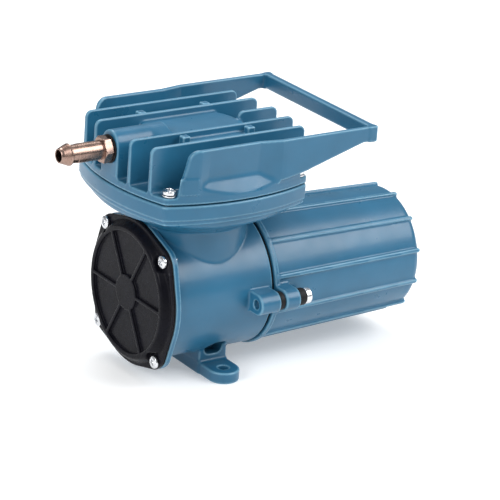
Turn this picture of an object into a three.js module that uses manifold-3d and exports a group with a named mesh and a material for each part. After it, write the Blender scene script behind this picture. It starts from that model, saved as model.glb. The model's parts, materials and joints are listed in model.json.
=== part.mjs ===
// A 12 volt piston air pump for ponds and live-fish tanks, as an assembly of its separate pieces.
//
// Millimetres, +Z up. The origin is the centre of the foot's underside, +X runs along the motor
// shaft towards the motor's rear end, and the hose barb points along -X.

import * as THREE from 'three';
import { mergeVertices } from 'three/addons/utils/BufferGeometryUtils.js';
import Module from 'manifold-3d';

const wasm = await Module();
wasm.setup();

// ---- Driving dimensions -----------------------------------------------------------------------

const gap = 0.3;                  // clearance between touching pieces
const shaftZ = 51;                // height of the motor and crank axis

// Crankcase
const flangeFrontX = -42.8;
const flangeBackX = -39.2;
const flangeRadius = 45.4;
const barrelRadius = 42.3;
const barrelEndX = 27.4;
const crankRoomRadius = 37.5;
const crankRoomEndX = 6;
const webEndX = 15;
const coverScrewCircle = 45.4;    // radius of the circle that the four cover screws lie on
const screwEarRadius = 5.4;

// Cylinder, head outline and joints above the crankcase
const cylinderX = -7.5;
const neckRadius = 34.5;
const bowlBottomZ = 99;
const rimBottomZ = 110;
const rimStepZ = 112.8;
const headJointZ = 122;
const headPlateTopZ = 127.2;
const headHalfX = 49.3;           // to the corners of the bulged square
const headHalfY = 48.1;
const frontBulge = 9;
const sideBulge = 9.4;
const rimTaper = 0.4;
const rimStepInset = 1;           // of the lip below the rim band
const headScrewX = 44.5;
const headScrewY = 44.5;

// Fins, handle and outlet on the head
const finTopZ = 154.7;
const finThickness = 2.8;
const finCorner = 4;
const innerFinY = 19.1;
const outerFinY = 36.2;
const rearFinStartX = 22.9;
const chamberRadius = 32;
const chamberTopZ = 150;
const chamberInnerRadius = 26;
const chamberInnerTopZ = 146;
const postX = 22.5;
const postY = 24.2;
const postSize = 5;
const outletZ = 143.6;
const outletBossHalfWidth = 8.8;
const outletBossTopZ = 154.8;
const outletFaceX = -65.8;
const outletBoreRadius = 5;
const armTopZ = 155.4;
const armThickness = 3;
const armInnerLine = 54.4;        // outer face of the arm beside the fins
const armOuterLine = 57;          // outer face of the arm behind the fins
const armJogStartX = 3;
const armJogEndX = 17.2;
const armUnderZ = 134.6;
const handleEndX = 84.3;
const gripThickness = 5;
const gripHeight = 9.4;

// Foot
const footHalfX = 9.8;
const footThickness = 7.1;
const pedestalHalfY = 23.3;
const footHoleY = 35.2;
const footHoleRadius = 3.3;

// Cylinder liner, valve plate and piston
const boreRadius = 27;
const linerOuterRadius = 30;
const linerBottomZ = 84;
const linerTopZ = 117.7;
const valvePlateRadius = 34;
const valvePlateZ = 118;
const valvePlateTopZ = 121;
const crankThrow = 3.5;
const pistonRadius = 22.6;
const pistonZ = 103;

// Motor
const motorStartX = 28.8;
const motorEndX = 141.4;
const motorFrontRadius = 42;
const motorRearRadius = 38.8;
const ribCount = 12;
const ribHeight = 1.6;
const ribHalfWidth = 1.3;
const shaftRadius = 4;
const bearingRadius = 11;
const bearingWidth = 7;
const lugY = 49.6;
const lugRadius = 6.5;
const lugStartX = 10.7;
const lugEndX = 24.8;
const motorLugEndX = 39;
const lugBushLength = 4.8;

// Facets round a turned surface, by its size
const largeFacets = 36;
const mediumFacets = 24;
const smallFacets = 16;
const tinyFacets = 8;

// ---- Materials --------------------------------------------------------------------------------

function finish(color, roughness, metalness) {
  return new THREE.MeshStandardMaterial({ color, roughness, metalness });
}

const blueEnamel = finish(0x3f7698, 0.32, 0.1);
const blackEnamel = finish(0x26262d, 0.38, 0.1);
const zinc = finish(0xc9ccd0, 0.3, 0.95);
const brass = finish(0xc9a086, 0.28, 0.95);
const rubber = finish(0x17181a, 0.85, 0);
const castAluminium = finish(0xa9adb1, 0.45, 0.9);
const steel = finish(0x9b9ea2, 0.35, 0.95);
const springSteel = finish(0x767b83, 0.3, 0.95);
const ironLaminations = finish(0x5b5d61, 0.55, 0.8);
const copper = finish(0xb5673a, 0.35, 0.9);
const magnetFerrite = finish(0x34353a, 0.7, 0.2);
const ptfe = finish(0xe5e2da, 0.5, 0);
const fibreBoard = finish(0x6d4a2c, 0.7, 0);
const carbon = finish(0x26272a, 0.75, 0.1);

// ---- Shape helpers ----------------------------------------------------------------------------

const mergeDistance = 1e-3;

function signedVolume(points, corners) {
  const a = new THREE.Vector3();
  const b = new THREE.Vector3();
  const c = new THREE.Vector3();
  let total = 0;
  for (let i = 0; i < corners.length; i += 3) {
    a.fromArray(points, corners[i] * 3);
    b.fromArray(points, corners[i + 1] * 3);
    c.fromArray(points, corners[i + 2] * 3);
    total += a.dot(b.cross(c));
  }
  return total;
}

// Turns any closed three.js geometry into a solid that can be joined and cut.
function solid(geometry) {
  const bare = geometry.clone();
  bare.deleteAttribute('normal');
  bare.deleteAttribute('uv');
  const merged = mergeVertices(bare, mergeDistance);
  const points = merged.getAttribute('position').array;
  const all = merged.getIndex().array;
  const corners = [];
  for (let i = 0; i < all.length; i += 3) {
    const [a, b, c] = all.slice(i, i + 3);
    if (a !== b && b !== c && c !== a) corners.push(a, b, c);
  }
  if (signedVolume(points, corners) < 0) corners.reverse();
  const mesh = { numProp: 3, vertProperties: new Float32Array(points), triVerts: new Uint32Array(corners) };
  return new wasm.Manifold(new wasm.Mesh(mesh));
}

function join(...pieces) {
  return pieces.reduce((whole, piece) => whole.add(piece));
}

function cut(body, ...tools) {
  return tools.reduce((rest, tool) => rest.subtract(tool), body);
}

function block(x0, x1, y0, y1, z0, z1) {
  const geometry = new THREE.BoxGeometry(x1 - x0, y1 - y0, z1 - z0);
  geometry.translate((x0 + x1) / 2, (y0 + y1) / 2, (z0 + z1) / 2);
  return solid(geometry);
}

function rodX(radius, x0, x1, { sides = mediumFacets, y = 0, z = shaftZ } = {}) {
  const geometry = new THREE.CylinderGeometry(radius, radius, x1 - x0, sides);
  geometry.rotateZ(-Math.PI / 2);
  geometry.translate((x0 + x1) / 2, y, z);
  return solid(geometry);
}

function rodY(radius, y0, y1, { sides = smallFacets, x = 0, z = 0 } = {}) {
  const geometry = new THREE.CylinderGeometry(radius, radius, y1 - y0, sides);
  geometry.translate(x, (y0 + y1) / 2, z);
  return solid(geometry);
}

function rodZ(radius, z0, z1, { sides = mediumFacets, x = 0, y = 0 } = {}) {
  const geometry = new THREE.CylinderGeometry(radius, radius, z1 - z0, sides);
  geometry.rotateX(Math.PI / 2);
  geometry.translate(x, y, (z0 + z1) / 2);
  return solid(geometry);
}

// A profile of [x, radius] points turned about the line y, z along X.
function turnedX(profile, { sides = mediumFacets, y = 0, z = shaftZ } = {}) {
  const points = profile.map(([x, radius]) => new THREE.Vector2(radius, x));
  const geometry = new THREE.LatheGeometry(points, sides);
  geometry.rotateZ(-Math.PI / 2);
  geometry.translate(0, y, z);
  return solid(geometry);
}

// A profile of [z, radius] points turned about the vertical line x, y.
function turnedZ(profile, { sides = mediumFacets, x = 0, y = 0 } = {}) {
  const points = profile.map(([z, radius]) => new THREE.Vector2(radius, z));
  const geometry = new THREE.LatheGeometry(points, sides);
  geometry.rotateX(Math.PI / 2);
  geometry.translate(x, y, 0);
  return solid(geometry);
}

function tubeProfile(inner, outer, start, end) {
  return [[start, inner], [end, inner], [end, outer], [start, outer], [start, inner]];
}

function tubeX(inner, outer, x0, x1, options) {
  return turnedX(tubeProfile(inner, outer, x0, x1), options);
}

function tubeZ(inner, outer, z0, z1, options) {
  return turnedZ(tubeProfile(inner, outer, z0, z1), options);
}

// A flat shape in X and Y, raised from z0 to z1, its lower edge drawn in by lowerScale.
function raised(shape, z0, z1, { x = 0, lowerScale = 1, segments = 4 } = {}) {
  const settings = { depth: z1 - z0, bevelEnabled: false, curveSegments: segments };
  const geometry = new THREE.ExtrudeGeometry(shape, settings);
  const position = geometry.getAttribute('position');
  for (let i = 0; i < position.count; i += 1) {
    const scale = position.getZ(i) > 0 ? 1 : lowerScale;
    position.setXY(i, position.getX(i) * scale, position.getY(i) * scale);
  }
  geometry.translate(x, 0, z0);
  return solid(geometry);
}

// A flat shape in X and Z, thickened from y0 to y1.
function upright(shape, y0, y1, segments = 3) {
  const settings = { depth: y1 - y0, bevelEnabled: false, curveSegments: segments };
  const geometry = new THREE.ExtrudeGeometry(shape, settings);
  geometry.rotateX(Math.PI / 2);
  geometry.translate(0, y1, 0);
  return solid(geometry);
}

// A flat shape in Y and Z, lengthened from x0 to x1.
function lengthwise(shape, x0, x1, segments = 6) {
  const settings = { depth: x1 - x0, bevelEnabled: false, curveSegments: segments };
  const geometry = new THREE.ExtrudeGeometry(shape, settings);
  geometry.rotateY(Math.PI / 2);
  geometry.rotateX(Math.PI / 2);
  geometry.translate(x0, 0, 0);
  return solid(geometry);
}

function polygon(points) {
  return new THREE.Shape(points.map(([a, b]) => new THREE.Vector2(a, b)));
}

function aroundShaft(radius, degrees) {
  const angle = THREE.MathUtils.degToRad(degrees);
  return { y: radius * Math.cos(angle), z: shaftZ + radius * Math.sin(angle) };
}

const model = new THREE.Group();

function add(name, body, material) {
  const data = body.getMesh();
  const geometry = new THREE.BufferGeometry();
  geometry.setAttribute('position', new THREE.BufferAttribute(new Float32Array(data.vertProperties), 3));
  geometry.setIndex(new THREE.BufferAttribute(new Uint32Array(data.triVerts), 1));
  geometry.computeVertexNormals();
  const mesh = new THREE.Mesh(geometry, material);
  mesh.name = name;
  model.add(mesh);
}

// ---- Head outline -----------------------------------------------------------------------------

function arcRadius(halfChord, bulge) {
  return (halfChord * halfChord + bulge * bulge) / (2 * bulge);
}

// How far a bulged side stands out beyond its corners, at a distance from its middle.
function standOut(halfChord, bulge, distance) {
  const radius = arcRadius(halfChord, bulge);
  return bulge - radius + Math.sqrt(radius * radius - distance * distance);
}

function headOutline(inset = 0) {
  const halfX = headHalfX - inset;
  const halfY = headHalfY - inset;
  const endRadius = arcRadius(halfY, frontBulge);
  const sideRadius = arcRadius(halfX, sideBulge);
  const endAngle = Math.asin(halfY / endRadius);
  const sideAngle = Math.asin(halfX / sideRadius);
  const endCentre = halfX + frontBulge - endRadius;
  const sideCentre = halfY + sideBulge - sideRadius;
  const outline = new THREE.Shape();
  outline.absarc(endCentre, 0, endRadius, -endAngle, endAngle);
  outline.absarc(0, sideCentre, sideRadius, Math.PI / 2 - sideAngle, Math.PI / 2 + sideAngle);
  outline.absarc(-endCentre, 0, endRadius, Math.PI - endAngle, Math.PI + endAngle);
  outline.absarc(0, -sideCentre, sideRadius, 1.5 * Math.PI - sideAngle, 1.5 * Math.PI + sideAngle);
  return outline;
}

function outlineEndX(y) {
  return headHalfX + standOut(headHalfY, frontBulge, y);
}

function outlineSideY(x) {
  return headHalfY + standOut(headHalfX, sideBulge, x - cylinderX);
}

// ---- Crankcase and its cover ------------------------------------------------------------------

const coverScrewAngles = [47.5, 137.5, 227.5, 317.5];
const sides = [-1, 1];

// The straight tangents that draw the disc out to one screw ear.
function earFlanks(degrees, x0, x1) {
  const lean = THREE.MathUtils.radToDeg(Math.acos((flangeRadius - screwEarRadius) / coverScrewCircle));
  const ear = aroundShaft(coverScrewCircle, degrees);
  const onDisc = [-lean, lean].map((turn) => aroundShaft(flangeRadius, degrees + turn));
  const onEar = [lean, -lean].map((turn) => {
    const offset = aroundShaft(screwEarRadius, degrees + turn);
    return { y: ear.y + offset.y, z: ear.z + offset.z - shaftZ };
  });
  return lengthwise(polygon([...onDisc, ...onEar].map(({ y, z }) => [y, z])), x0, x1);
}

function flangeDisc(x0, x1) {
  const ears = coverScrewAngles.flatMap((degrees) => [
    rodX(screwEarRadius, x0, x1, { sides: smallFacets, ...aroundShaft(coverScrewCircle, degrees) }),
    earFlanks(degrees, x0, x1),
  ]);
  return join(rodX(flangeRadius, x0, x1, { sides: largeFacets }), ...ears);
}

function coverScrewHoles(radius, x0, x1) {
  return coverScrewAngles.map((degrees) => {
    return rodX(radius, x0, x1, { sides: tinyFacets, ...aroundShaft(coverScrewCircle, degrees) });
  });
}

function headScrewHoles(radius, z0, z1) {
  return sides.flatMap((alongX) => sides.map((alongY) => {
    return rodZ(radius, z0, z1, { sides: tinyFacets, x: cylinderX + alongX * headScrewX, y: alongY * headScrewY });
  }));
}

function foot() {
  const plate = new THREE.Shape();
  plate.absarc(0, footHoleY, footHalfX, 0, Math.PI);
  plate.absarc(0, -footHoleY, footHalfX, Math.PI, 2 * Math.PI);
  const holes = sides.map((side) => rodZ(footHoleRadius, -1, footThickness + 1, { sides: 12, y: side * footHoleY }));
  const pedestal = block(-footHalfX, footHalfX, -pedestalHalfY, pedestalHalfY, 0, shaftZ);
  return join(cut(raised(plate, 0, footThickness), ...holes), pedestal);
}

// A clamp lug on one side, from x0 to x1, blended into the barrel.
function lug(side, x0, x1) {
  const root = barrelRadius - 6;
  const y0 = Math.min(side * root, side * lugY);
  const y1 = Math.max(side * root, side * lugY);
  const nose = rodX(lugRadius, x0, x1, { sides: smallFacets, y: side * lugY });
  return join(nose, block(x0, x1, y0, y1, shaftZ - lugRadius, shaftZ + lugRadius));
}

function rim() {
  const lowerScale = (headHalfX - rimTaper) / headHalfX;
  const band = raised(headOutline(), rimStepZ, headJointZ, { x: cylinderX, lowerScale });
  const step = raised(headOutline(rimStepInset), rimBottomZ, rimStepZ, { x: cylinderX, lowerScale });
  return join(band, step);
}

function bowl() {
  const profile = [
    [bowlBottomZ, 0], [bowlBottomZ, 40], [101.5, 45], [104.5, 51], [107.5, 59.5],
    [rimBottomZ, 70], [rimBottomZ, 0],
  ];
  const turned = turnedZ(profile, { x: cylinderX, sides: largeFacets });
  return turned.intersect(raised(headOutline(rimStepInset + 1.5), 90, rimBottomZ + 0.1, { x: cylinderX }));
}

function intakeSlots() {
  return sides.map((side) => block(-6.5, 6.5, Math.min(side * 17, side * 30), Math.max(side * 17, side * 30), 11.2, 21));
}

function crankcase() {
  const castings = join(
    rodX(barrelRadius, flangeFrontX, barrelEndX, { sides: largeFacets }),
    flangeDisc(flangeFrontX, flangeBackX),
    rodZ(neckRadius, shaftZ, rimBottomZ + 0.1, { x: cylinderX, sides: largeFacets }),
    bowl(),
    rim(),
    lug(-1, lugStartX, lugEndX),
    lug(1, lugStartX, lugEndX),
    foot(),
  );
  const hollows = [
    rodX(flangeRadius + 1.5, flangeFrontX - 10, flangeFrontX, { sides: largeFacets }),
    rodX(motorFrontRadius + 3, barrelEndX, barrelEndX + 10, { sides: largeFacets }),
    rodX(crankRoomRadius, flangeFrontX - 1, crankRoomEndX, { sides: largeFacets }),
    rodX(crankRoomRadius, webEndX, barrelEndX + 1, { sides: largeFacets }),
    rodX(8, crankRoomEndX - 1, webEndX + 1, { sides: smallFacets }),
    rodX(bearingRadius + gap, webEndX - bearingWidth - gap, webEndX + 1),
    rodZ(linerOuterRadius + gap, shaftZ + 20, headJointZ + 1, { x: cylinderX }),
    rodZ(valvePlateRadius + gap, linerTopZ, headJointZ + 1, { x: cylinderX }),
    ...coverScrewHoles(2 + gap, flangeFrontX - 1, flangeBackX + 1),
    ...headScrewHoles(2.5 + gap, rimStepZ + 0.5, headJointZ + 1),
    ...intakeSlots(),
    ...sides.map((side) => rodX(2.5 + gap, lugStartX - 1, barrelEndX + 1, { sides: tinyFacets, y: side * lugY })),
  ];
  return cut(castings, ...hollows);
}

const coverBackX = -43.9;
const coverFlangeFrontX = -45.8;
const coverRimFrontX = -50;
const coverRimRadius = 40.2;
const coverRimFootRadius = 41;
const coverRecessX = -48.2;
const coverRecessRadius = 37.5;
const coverHubRadius = 10.9;

// A flat flange with a raised dish in its middle: a rim round a recess with a hub and six spokes.
function frontCover() {
  const dish = turnedX([
    [coverRimFrontX, 0], [coverRimFrontX, coverRimRadius], [coverFlangeFrontX + 0.5, coverRimFootRadius],
    [coverFlangeFrontX + 0.5, 0],
  ], { sides: largeFacets });
  const recess = tubeX(coverHubRadius, coverRecessRadius, coverRimFrontX - 1, coverRecessX, { sides: largeFacets });
  const spokes = [0, 60, 120].map((degrees) => {
    const bar = new THREE.BoxGeometry(coverRecessX - coverRimFrontX + 0.4, 2 * coverRecessRadius + 2, 2.2);
    bar.rotateX(THREE.MathUtils.degToRad(degrees));
    bar.translate((coverRimFrontX + coverRecessX) / 2 + 0.5, 0, shaftZ);
    return solid(bar);
  });
  const plate = join(flangeDisc(coverFlangeFrontX, coverBackX), cut(dish, recess), ...spokes);
  return cut(plate, ...coverScrewHoles(2 + gap, coverRimFrontX - 1, coverBackX + 1));
}

function coverGasket() {
  const disc = flangeDisc(coverBackX + gap, flangeFrontX - gap);
  const window = rodX(crankRoomRadius, coverBackX - 1, flangeFrontX + 1, { sides: largeFacets });
  return cut(disc, window, ...coverScrewHoles(2 + gap, coverBackX - 1, flangeFrontX + 1));
}

// A pan-head screw pointing along +X, its head resting at headX.
function screwX(headX, length, place, { headRadius = 4, headHeight = 2.6, radius = 2 } = {}) {
  const profile = [
    [headX - headHeight, 0], [headX - headHeight, headRadius * 0.7], [headX - headHeight * 0.6, headRadius * 0.96],
    [headX, headRadius], [headX, radius], [headX + length, radius], [headX + length, 0],
  ];
  return turnedX(profile, { sides: smallFacets, ...place });
}

// ---- Head, fins, handle and outlet ------------------------------------------------------------

function roundedFin(x0, x1, y) {
  const shape = new THREE.Shape();
  shape.moveTo(x0, headPlateTopZ - 1);
  shape.lineTo(x1, headPlateTopZ - 1);
  shape.lineTo(x1, finTopZ - finCorner);
  shape.absarc(x1 - finCorner, finTopZ - finCorner, finCorner, 0, Math.PI / 2);
  shape.absarc(x0 + finCorner, finTopZ - finCorner, finCorner, Math.PI / 2, Math.PI);
  shape.closePath();
  return upright(shape, y - finThickness / 2, y + finThickness / 2);
}

function fins() {
  const full = [-outerFinY, -innerFinY, innerFinY, outerFinY].map((y) => {
    return roundedFin(cylinderX - outlineEndX(y), cylinderX + outlineEndX(y), y);
  });
  return join(...full, roundedFin(rearFinStartX, cylinderX + outlineEndX(0), 0));
}

const armFrontX = -48;

// The plan of one handle arm: it follows the head's outline, runs straight beside the fins and
// jogs outward behind them.
function armPlan(side) {
  const outer = [
    [armFrontX, outlineSideY(armFrontX)],
    [-42, outlineSideY(-42)],
    [-36, armInnerLine],
    [armJogStartX, armInnerLine],
    [armJogEndX, armOuterLine],
    [handleEndX, armOuterLine],
  ];
  const inner = outer.map(([x, y]) => [x, y - armThickness]).reverse();
  return polygon([...outer, ...inner].map(([x, y]) => [x, side * y]));
}

// The side view that trims both arms: slanted front end, underside rising to the grip.
function armSideView() {
  const shape = new THREE.Shape();
  shape.moveTo(armFrontX - 1.8, headPlateTopZ - 2);
  shape.lineTo(-44.6, armTopZ - 6);
  shape.quadraticCurveTo(-43, armTopZ, -37, armTopZ);
  shape.lineTo(handleEndX, armTopZ);
  shape.lineTo(handleEndX, armTopZ - gripHeight);
  shape.lineTo(78.5, armTopZ - gripHeight - 1.2);
  shape.lineTo(75, armTopZ - gripHeight);
  shape.lineTo(37, armUnderZ);
  shape.lineTo(37, headPlateTopZ - 2);
  shape.closePath();
  return shape;
}

function handleArm(side) {
  const wall = raised(armPlan(side), headPlateTopZ - 3, armTopZ + 1);
  return wall.intersect(upright(armSideView(), -armOuterLine - 1, armOuterLine + 1, 6));
}

// The solid skirt between the arm and the head's outline, scooped out beside the fins.
function sideSkirt(side) {
  const reach = headHalfY + sideBulge + 1;
  const inner = armInnerLine - armThickness;
  const strip = block(armFrontX, 41, Math.min(side * inner, side * reach), Math.max(side * inner, side * reach),
    headJointZ, armUnderZ);
  const skirt = strip.intersect(raised(headOutline(), headJointZ, armUnderZ + 1, { x: cylinderX }));
  const slope = polygon([[armInnerLine, 150], [armInnerLine, 133.5], [reach, 128.5], [reach, 150]].map(([y, z]) => [side * y, z]));
  const scoop = lengthwise(slope, -38, armJogEndX - 4);
  return cut(skirt, scoop);
}

function outletBoss() {
  const arcZ = outletBossTopZ - outletBossHalfWidth;
  const shape = new THREE.Shape();
  shape.moveTo(outletBossHalfWidth, headPlateTopZ - 1);
  shape.lineTo(outletBossHalfWidth, arcZ);
  shape.absarc(0, arcZ, outletBossHalfWidth, 0, Math.PI);
  shape.lineTo(-outletBossHalfWidth, headPlateTopZ - 1);
  shape.closePath();
  return lengthwise(shape, outletFaceX, cylinderX - chamberInnerRadius + 4);
}

function cylinderHead() {
  const floorZ = headJointZ + gap;
  const grip = block(handleEndX - gripThickness, handleEndX, -armOuterLine, armOuterLine, armTopZ - gripHeight, armTopZ);
  const posts = sides.flatMap((alongX) => sides.map((alongY) => {
    const x = cylinderX + alongX * postX;
    const y = alongY * postY;
    return block(x - postSize / 2, x + postSize / 2, y - postSize / 2, y + postSize / 2, headPlateTopZ - 1, finTopZ - 0.6);
  }));
  const casting = join(
    raised(headOutline(), floorZ, headPlateTopZ, { x: cylinderX }),
    rodZ(chamberRadius, headPlateTopZ - 1, chamberTopZ, { x: cylinderX, sides: largeFacets }),
    fins(),
    outletBoss(),
    handleArm(-1),
    handleArm(1),
    cut(sideSkirt(-1), block(-200, 200, -200, 200, 0, floorZ)),
    cut(sideSkirt(1), block(-200, 200, -200, 200, 0, floorZ)),
    grip,
    ...posts,
  );
  const hollows = [
    rodZ(chamberInnerRadius, headJointZ - 1, chamberInnerTopZ, { x: cylinderX }),
    rodX(outletBoreRadius, outletFaceX - 5, cylinderX - chamberInnerRadius + 3, { sides: smallFacets, z: outletZ - 2 }),
    rodX(6.3 + gap, outletFaceX - 5, outletFaceX + 11.5, { sides: smallFacets, z: outletZ }),
    ...headScrewHoles(2.5 + gap, headJointZ - 1, headPlateTopZ + 8),
  ];
  return cut(casting, ...hollows);
}

const barbTipX = -99.8;
const barbRidgeX = -93.4;         // back of the ridge that holds the hose
const barbBodyRadius = 5.7;
const barbHexX = -72.4;
const barbHexEndX = -67.2;
const barbHexRadius = 8.3;        // to its corners, two of them level with the axis
const barbThreadRadius = 6;
const barbBoreRadius = 3.4;

function outletBarb() {
  const body = [
    [barbTipX, barbBoreRadius], [barbTipX, 4.2], [barbRidgeX - 1.2, 6.6], [barbRidgeX, 6.6],
    [barbRidgeX + 0.6, barbBodyRadius], [barbHexX, barbBodyRadius], [barbHexX, barbThreadRadius],
    [outletFaceX + 11, barbThreadRadius], [outletFaceX + 11, barbBoreRadius], [barbTipX, barbBoreRadius],
  ];
  const length = barbHexEndX - barbHexX;
  const hexagon = new THREE.CylinderGeometry(barbHexRadius, barbHexRadius, length, 6);
  hexagon.rotateX(Math.PI / 2);
  hexagon.rotateY(Math.PI / 2);
  hexagon.rotateX(Math.PI / 6);
  hexagon.translate(barbHexX + length / 2, 0, outletZ);
  const airway = rodX(barbBoreRadius, barbHexX - 1, barbHexEndX + 1, { sides: mediumFacets, z: outletZ });
  return cut(join(turnedX(body, { z: outletZ }), solid(hexagon)), airway);
}

// A washer-faced pan-head screw pointing down, its head resting at headZ.
function screwZ(headZ, length, x, y, { headRadius = 3.9, headHeight = 3, radius = 2.5 } = {}) {
  const profile = [
    [headZ - length, 0], [headZ - length, radius], [headZ, radius], [headZ, headRadius],
    [headZ + headHeight * 0.6, headRadius * 0.96], [headZ + headHeight, headRadius * 0.7], [headZ + headHeight, 0],
  ];
  return turnedZ(profile, { sides: smallFacets, x, y });
}

// ---- Cylinder, valves, piston and crank -------------------------------------------------------

const reedLength = 20;
const reedThickness = 0.5;
const portOffset = 5;

function cylinderLiner() {
  return tubeZ(boreRadius, linerOuterRadius, linerBottomZ, linerTopZ - gap, { x: cylinderX });
}

// Three ports in a row under the free end of a reed that starts at rootX.
function reedPorts(z0, z1) {
  return [-1, 0, 1].map((step) => {
    return rodZ(1.4, z0, z1, { sides: tinyFacets, x: cylinderX + portOffset, y: step * 3.2 });
  });
}

function reed(z) {
  const x0 = cylinderX + portOffset + 4 - reedLength;
  return block(x0, x0 + reedLength, -5, 5, z, z + reedThickness);
}

function connectingRod() {
  const pinZ = shaftZ + crankThrow;
  const bigEnd = rodX(15, cylinderX - 4, cylinderX + 4, { z: pinZ });
  const beam = polygon([[-7.5, pinZ + 10], [7.5, pinZ + 10], [6, pistonZ], [-6, pistonZ]]);
  const web = lengthwise(beam, cylinderX - 3, cylinderX + 3);
  const crown = rodZ(pistonRadius - 0.6, pistonZ - 1, pistonZ + 3, { x: cylinderX });
  const seat = rodX(bearingRadius + gap, cylinderX - 5, cylinderX + 5, { z: pinZ });
  const screwHole = rodZ(1.8 + gap, pistonZ - 8, pistonZ + 5, { sides: tinyFacets, x: cylinderX - 4 });
  return cut(join(bigEnd, web, crown), seat, screwHole, ...reedPorts(pistonZ - 3, pistonZ + 5));
}

function pistonCup() {
  const z0 = pistonZ + 3 + gap;
  const profile = [
    [z0, 0], [z0, pistonRadius], [z0 + 4, pistonRadius], [z0 + 4, pistonRadius - 1],
    [z0 + 1, pistonRadius - 1.6], [z0 + 1, 0],
  ];
  const cup = turnedZ(profile, { x: cylinderX });
  const hole = rodZ(1.8 + gap, z0 - 1, z0 + 3, { sides: tinyFacets, x: cylinderX - 4 });
  return cut(cup, hole, ...reedPorts(z0 - 1, z0 + 3));
}

const clampPlateZ = pistonZ + 3 + gap + 1 + gap;
const clampPlateTopZ = clampPlateZ + 2.2;

function pistonClampPlate() {
  const plate = rodZ(pistonRadius - 3, clampPlateZ, clampPlateTopZ, { x: cylinderX });
  const hole = rodZ(1.8 + gap, clampPlateZ - 1, clampPlateTopZ + 1, { sides: tinyFacets, x: cylinderX - 4 });
  return cut(plate, hole, ...reedPorts(clampPlateZ - 1, clampPlateTopZ + 1));
}

function pistonScrew() {
  return screwZ(clampPlateTopZ + 1.3, 12, cylinderX - 4, 0, { headRadius: 3, headHeight: 1.4, radius: 1.8 });
}

// The inlet reed has a slot round the piston screw, so that it can lift past it.
function inletReed() {
  const z = clampPlateTopZ + gap;
  return cut(reed(z), block(cylinderX - 7.8, cylinderX - 0.2, -3.5, 3.5, z - 1, z + 2));
}

function crankEccentric() {
  const hubX = -2.8;
  const hubEndX = 5.2;
  const pinZ = shaftZ + crankThrow;
  const sector = new THREE.Shape();
  sector.moveTo(9, shaftZ);
  sector.lineTo(23, shaftZ - 6);
  sector.absarc(0, shaftZ, 24, -0.25, -Math.PI + 0.25, true);
  sector.lineTo(-9, shaftZ);
  sector.closePath();
  const pin = rodX(shaftRadius, cylinderX - 4.4, hubX + 1, { sides: smallFacets, z: pinZ });
  const body = join(rodX(11, hubX, hubEndX), lengthwise(sector, hubX, 3.5), pin);
  const shaftBore = rodX(shaftRadius + gap, -0.5, hubEndX + 1, { sides: smallFacets });
  const screwBore = rodX(1.6 + gap, cylinderX - 6, hubX + 0.4, { sides: tinyFacets, z: pinZ });
  return cut(body, shaftBore, screwBore);
}

function bearing(centreX, z = shaftZ) {
  const half = bearingWidth / 2;
  return tubeX(shaftRadius + gap, bearingRadius, centreX - half, centreX + half, { sides: smallFacets, z });
}

// ---- Motor ------------------------------------------------------------------------------------

const coneSlope = (motorFrontRadius - motorRearRadius) / (motorEndX - motorStartX);

function bodyRadius(x) {
  return motorFrontRadius - coneSlope * (x - motorStartX);
}

const wallThickness = 2.6;
const endWallX = 138;
const rearChamfer = 5.5;
const glandX = 124;

function housingShell() {
  const profile = [
    [motorStartX, bodyRadius(motorStartX) - wallThickness], [motorStartX, bodyRadius(motorStartX) + 1.6],
    [motorStartX + 3, bodyRadius(motorStartX) + 1.6], [motorStartX + 3.6, bodyRadius(motorStartX)],
    [motorEndX - rearChamfer, bodyRadius(motorEndX - rearChamfer)],
    [motorEndX - 1.5, bodyRadius(motorEndX) - 1.6], [motorEndX, bodyRadius(motorEndX) - rearChamfer],
    [motorEndX, 0], [endWallX, 0], [endWallX, bearingRadius + gap], [endWallX - 10.3, bearingRadius + gap], [endWallX - 10.3, 14],
    [endWallX, 14], [endWallX, bodyRadius(endWallX) - 5], [endWallX - 3, bodyRadius(endWallX) - wallThickness],
    [motorStartX, bodyRadius(motorStartX) - wallThickness],
  ];
  return turnedX(profile, { sides: largeFacets });
}

// One rib: a bar along the housing that follows its slight taper and rounds over at the end.
function housingRib(degrees) {
  const root = 1.4;
  const shape = polygon([
    [motorStartX + 1, bodyRadius(motorStartX) - root], [motorStartX + 1, bodyRadius(motorStartX) + ribHeight],
    [motorEndX - 2.6, bodyRadius(motorEndX) + ribHeight], [motorEndX - 0.5, bodyRadius(motorEndX) - 2.6],
    [endWallX + 1, bodyRadius(motorEndX) - rearChamfer - 2], [endWallX - 5, bodyRadius(motorEndX) - 1],
  ]);
  const settings = { depth: 2 * ribHalfWidth, bevelEnabled: false };
  const geometry = new THREE.ExtrudeGeometry(shape, settings);
  geometry.rotateX(Math.PI / 2);
  geometry.translate(0, ribHalfWidth, 0);
  geometry.rotateX(THREE.MathUtils.degToRad(degrees));
  geometry.translate(0, 0, shaftZ);
  return solid(geometry);
}

function motorHousing() {
  const step = 360 / ribCount;
  const ribs = Array.from({ length: ribCount }, (unused, k) => housingRib(step / 2 + k * step));
  const lugs = sides.map((side) => lug(side, motorStartX, motorLugEndX));
  const inside = turnedX([
    [motorStartX - 1, 0], [motorStartX - 1, bodyRadius(motorStartX) - wallThickness],
    [126, bodyRadius(126) - wallThickness], [126, 0],
  ], { sides: largeFacets });
  const holes = sides.map((side) => rodX(2.5 + gap, motorStartX - 1, motorLugEndX + 1, { sides: tinyFacets, y: side * lugY }));
  const gland = rodY(5 + gap, 30, 50, { x: glandX, z: shaftZ });
  return cut(join(housingShell(), ...ribs, ...lugs.map((body) => cut(body, inside))), ...holes, gland);
}

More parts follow.
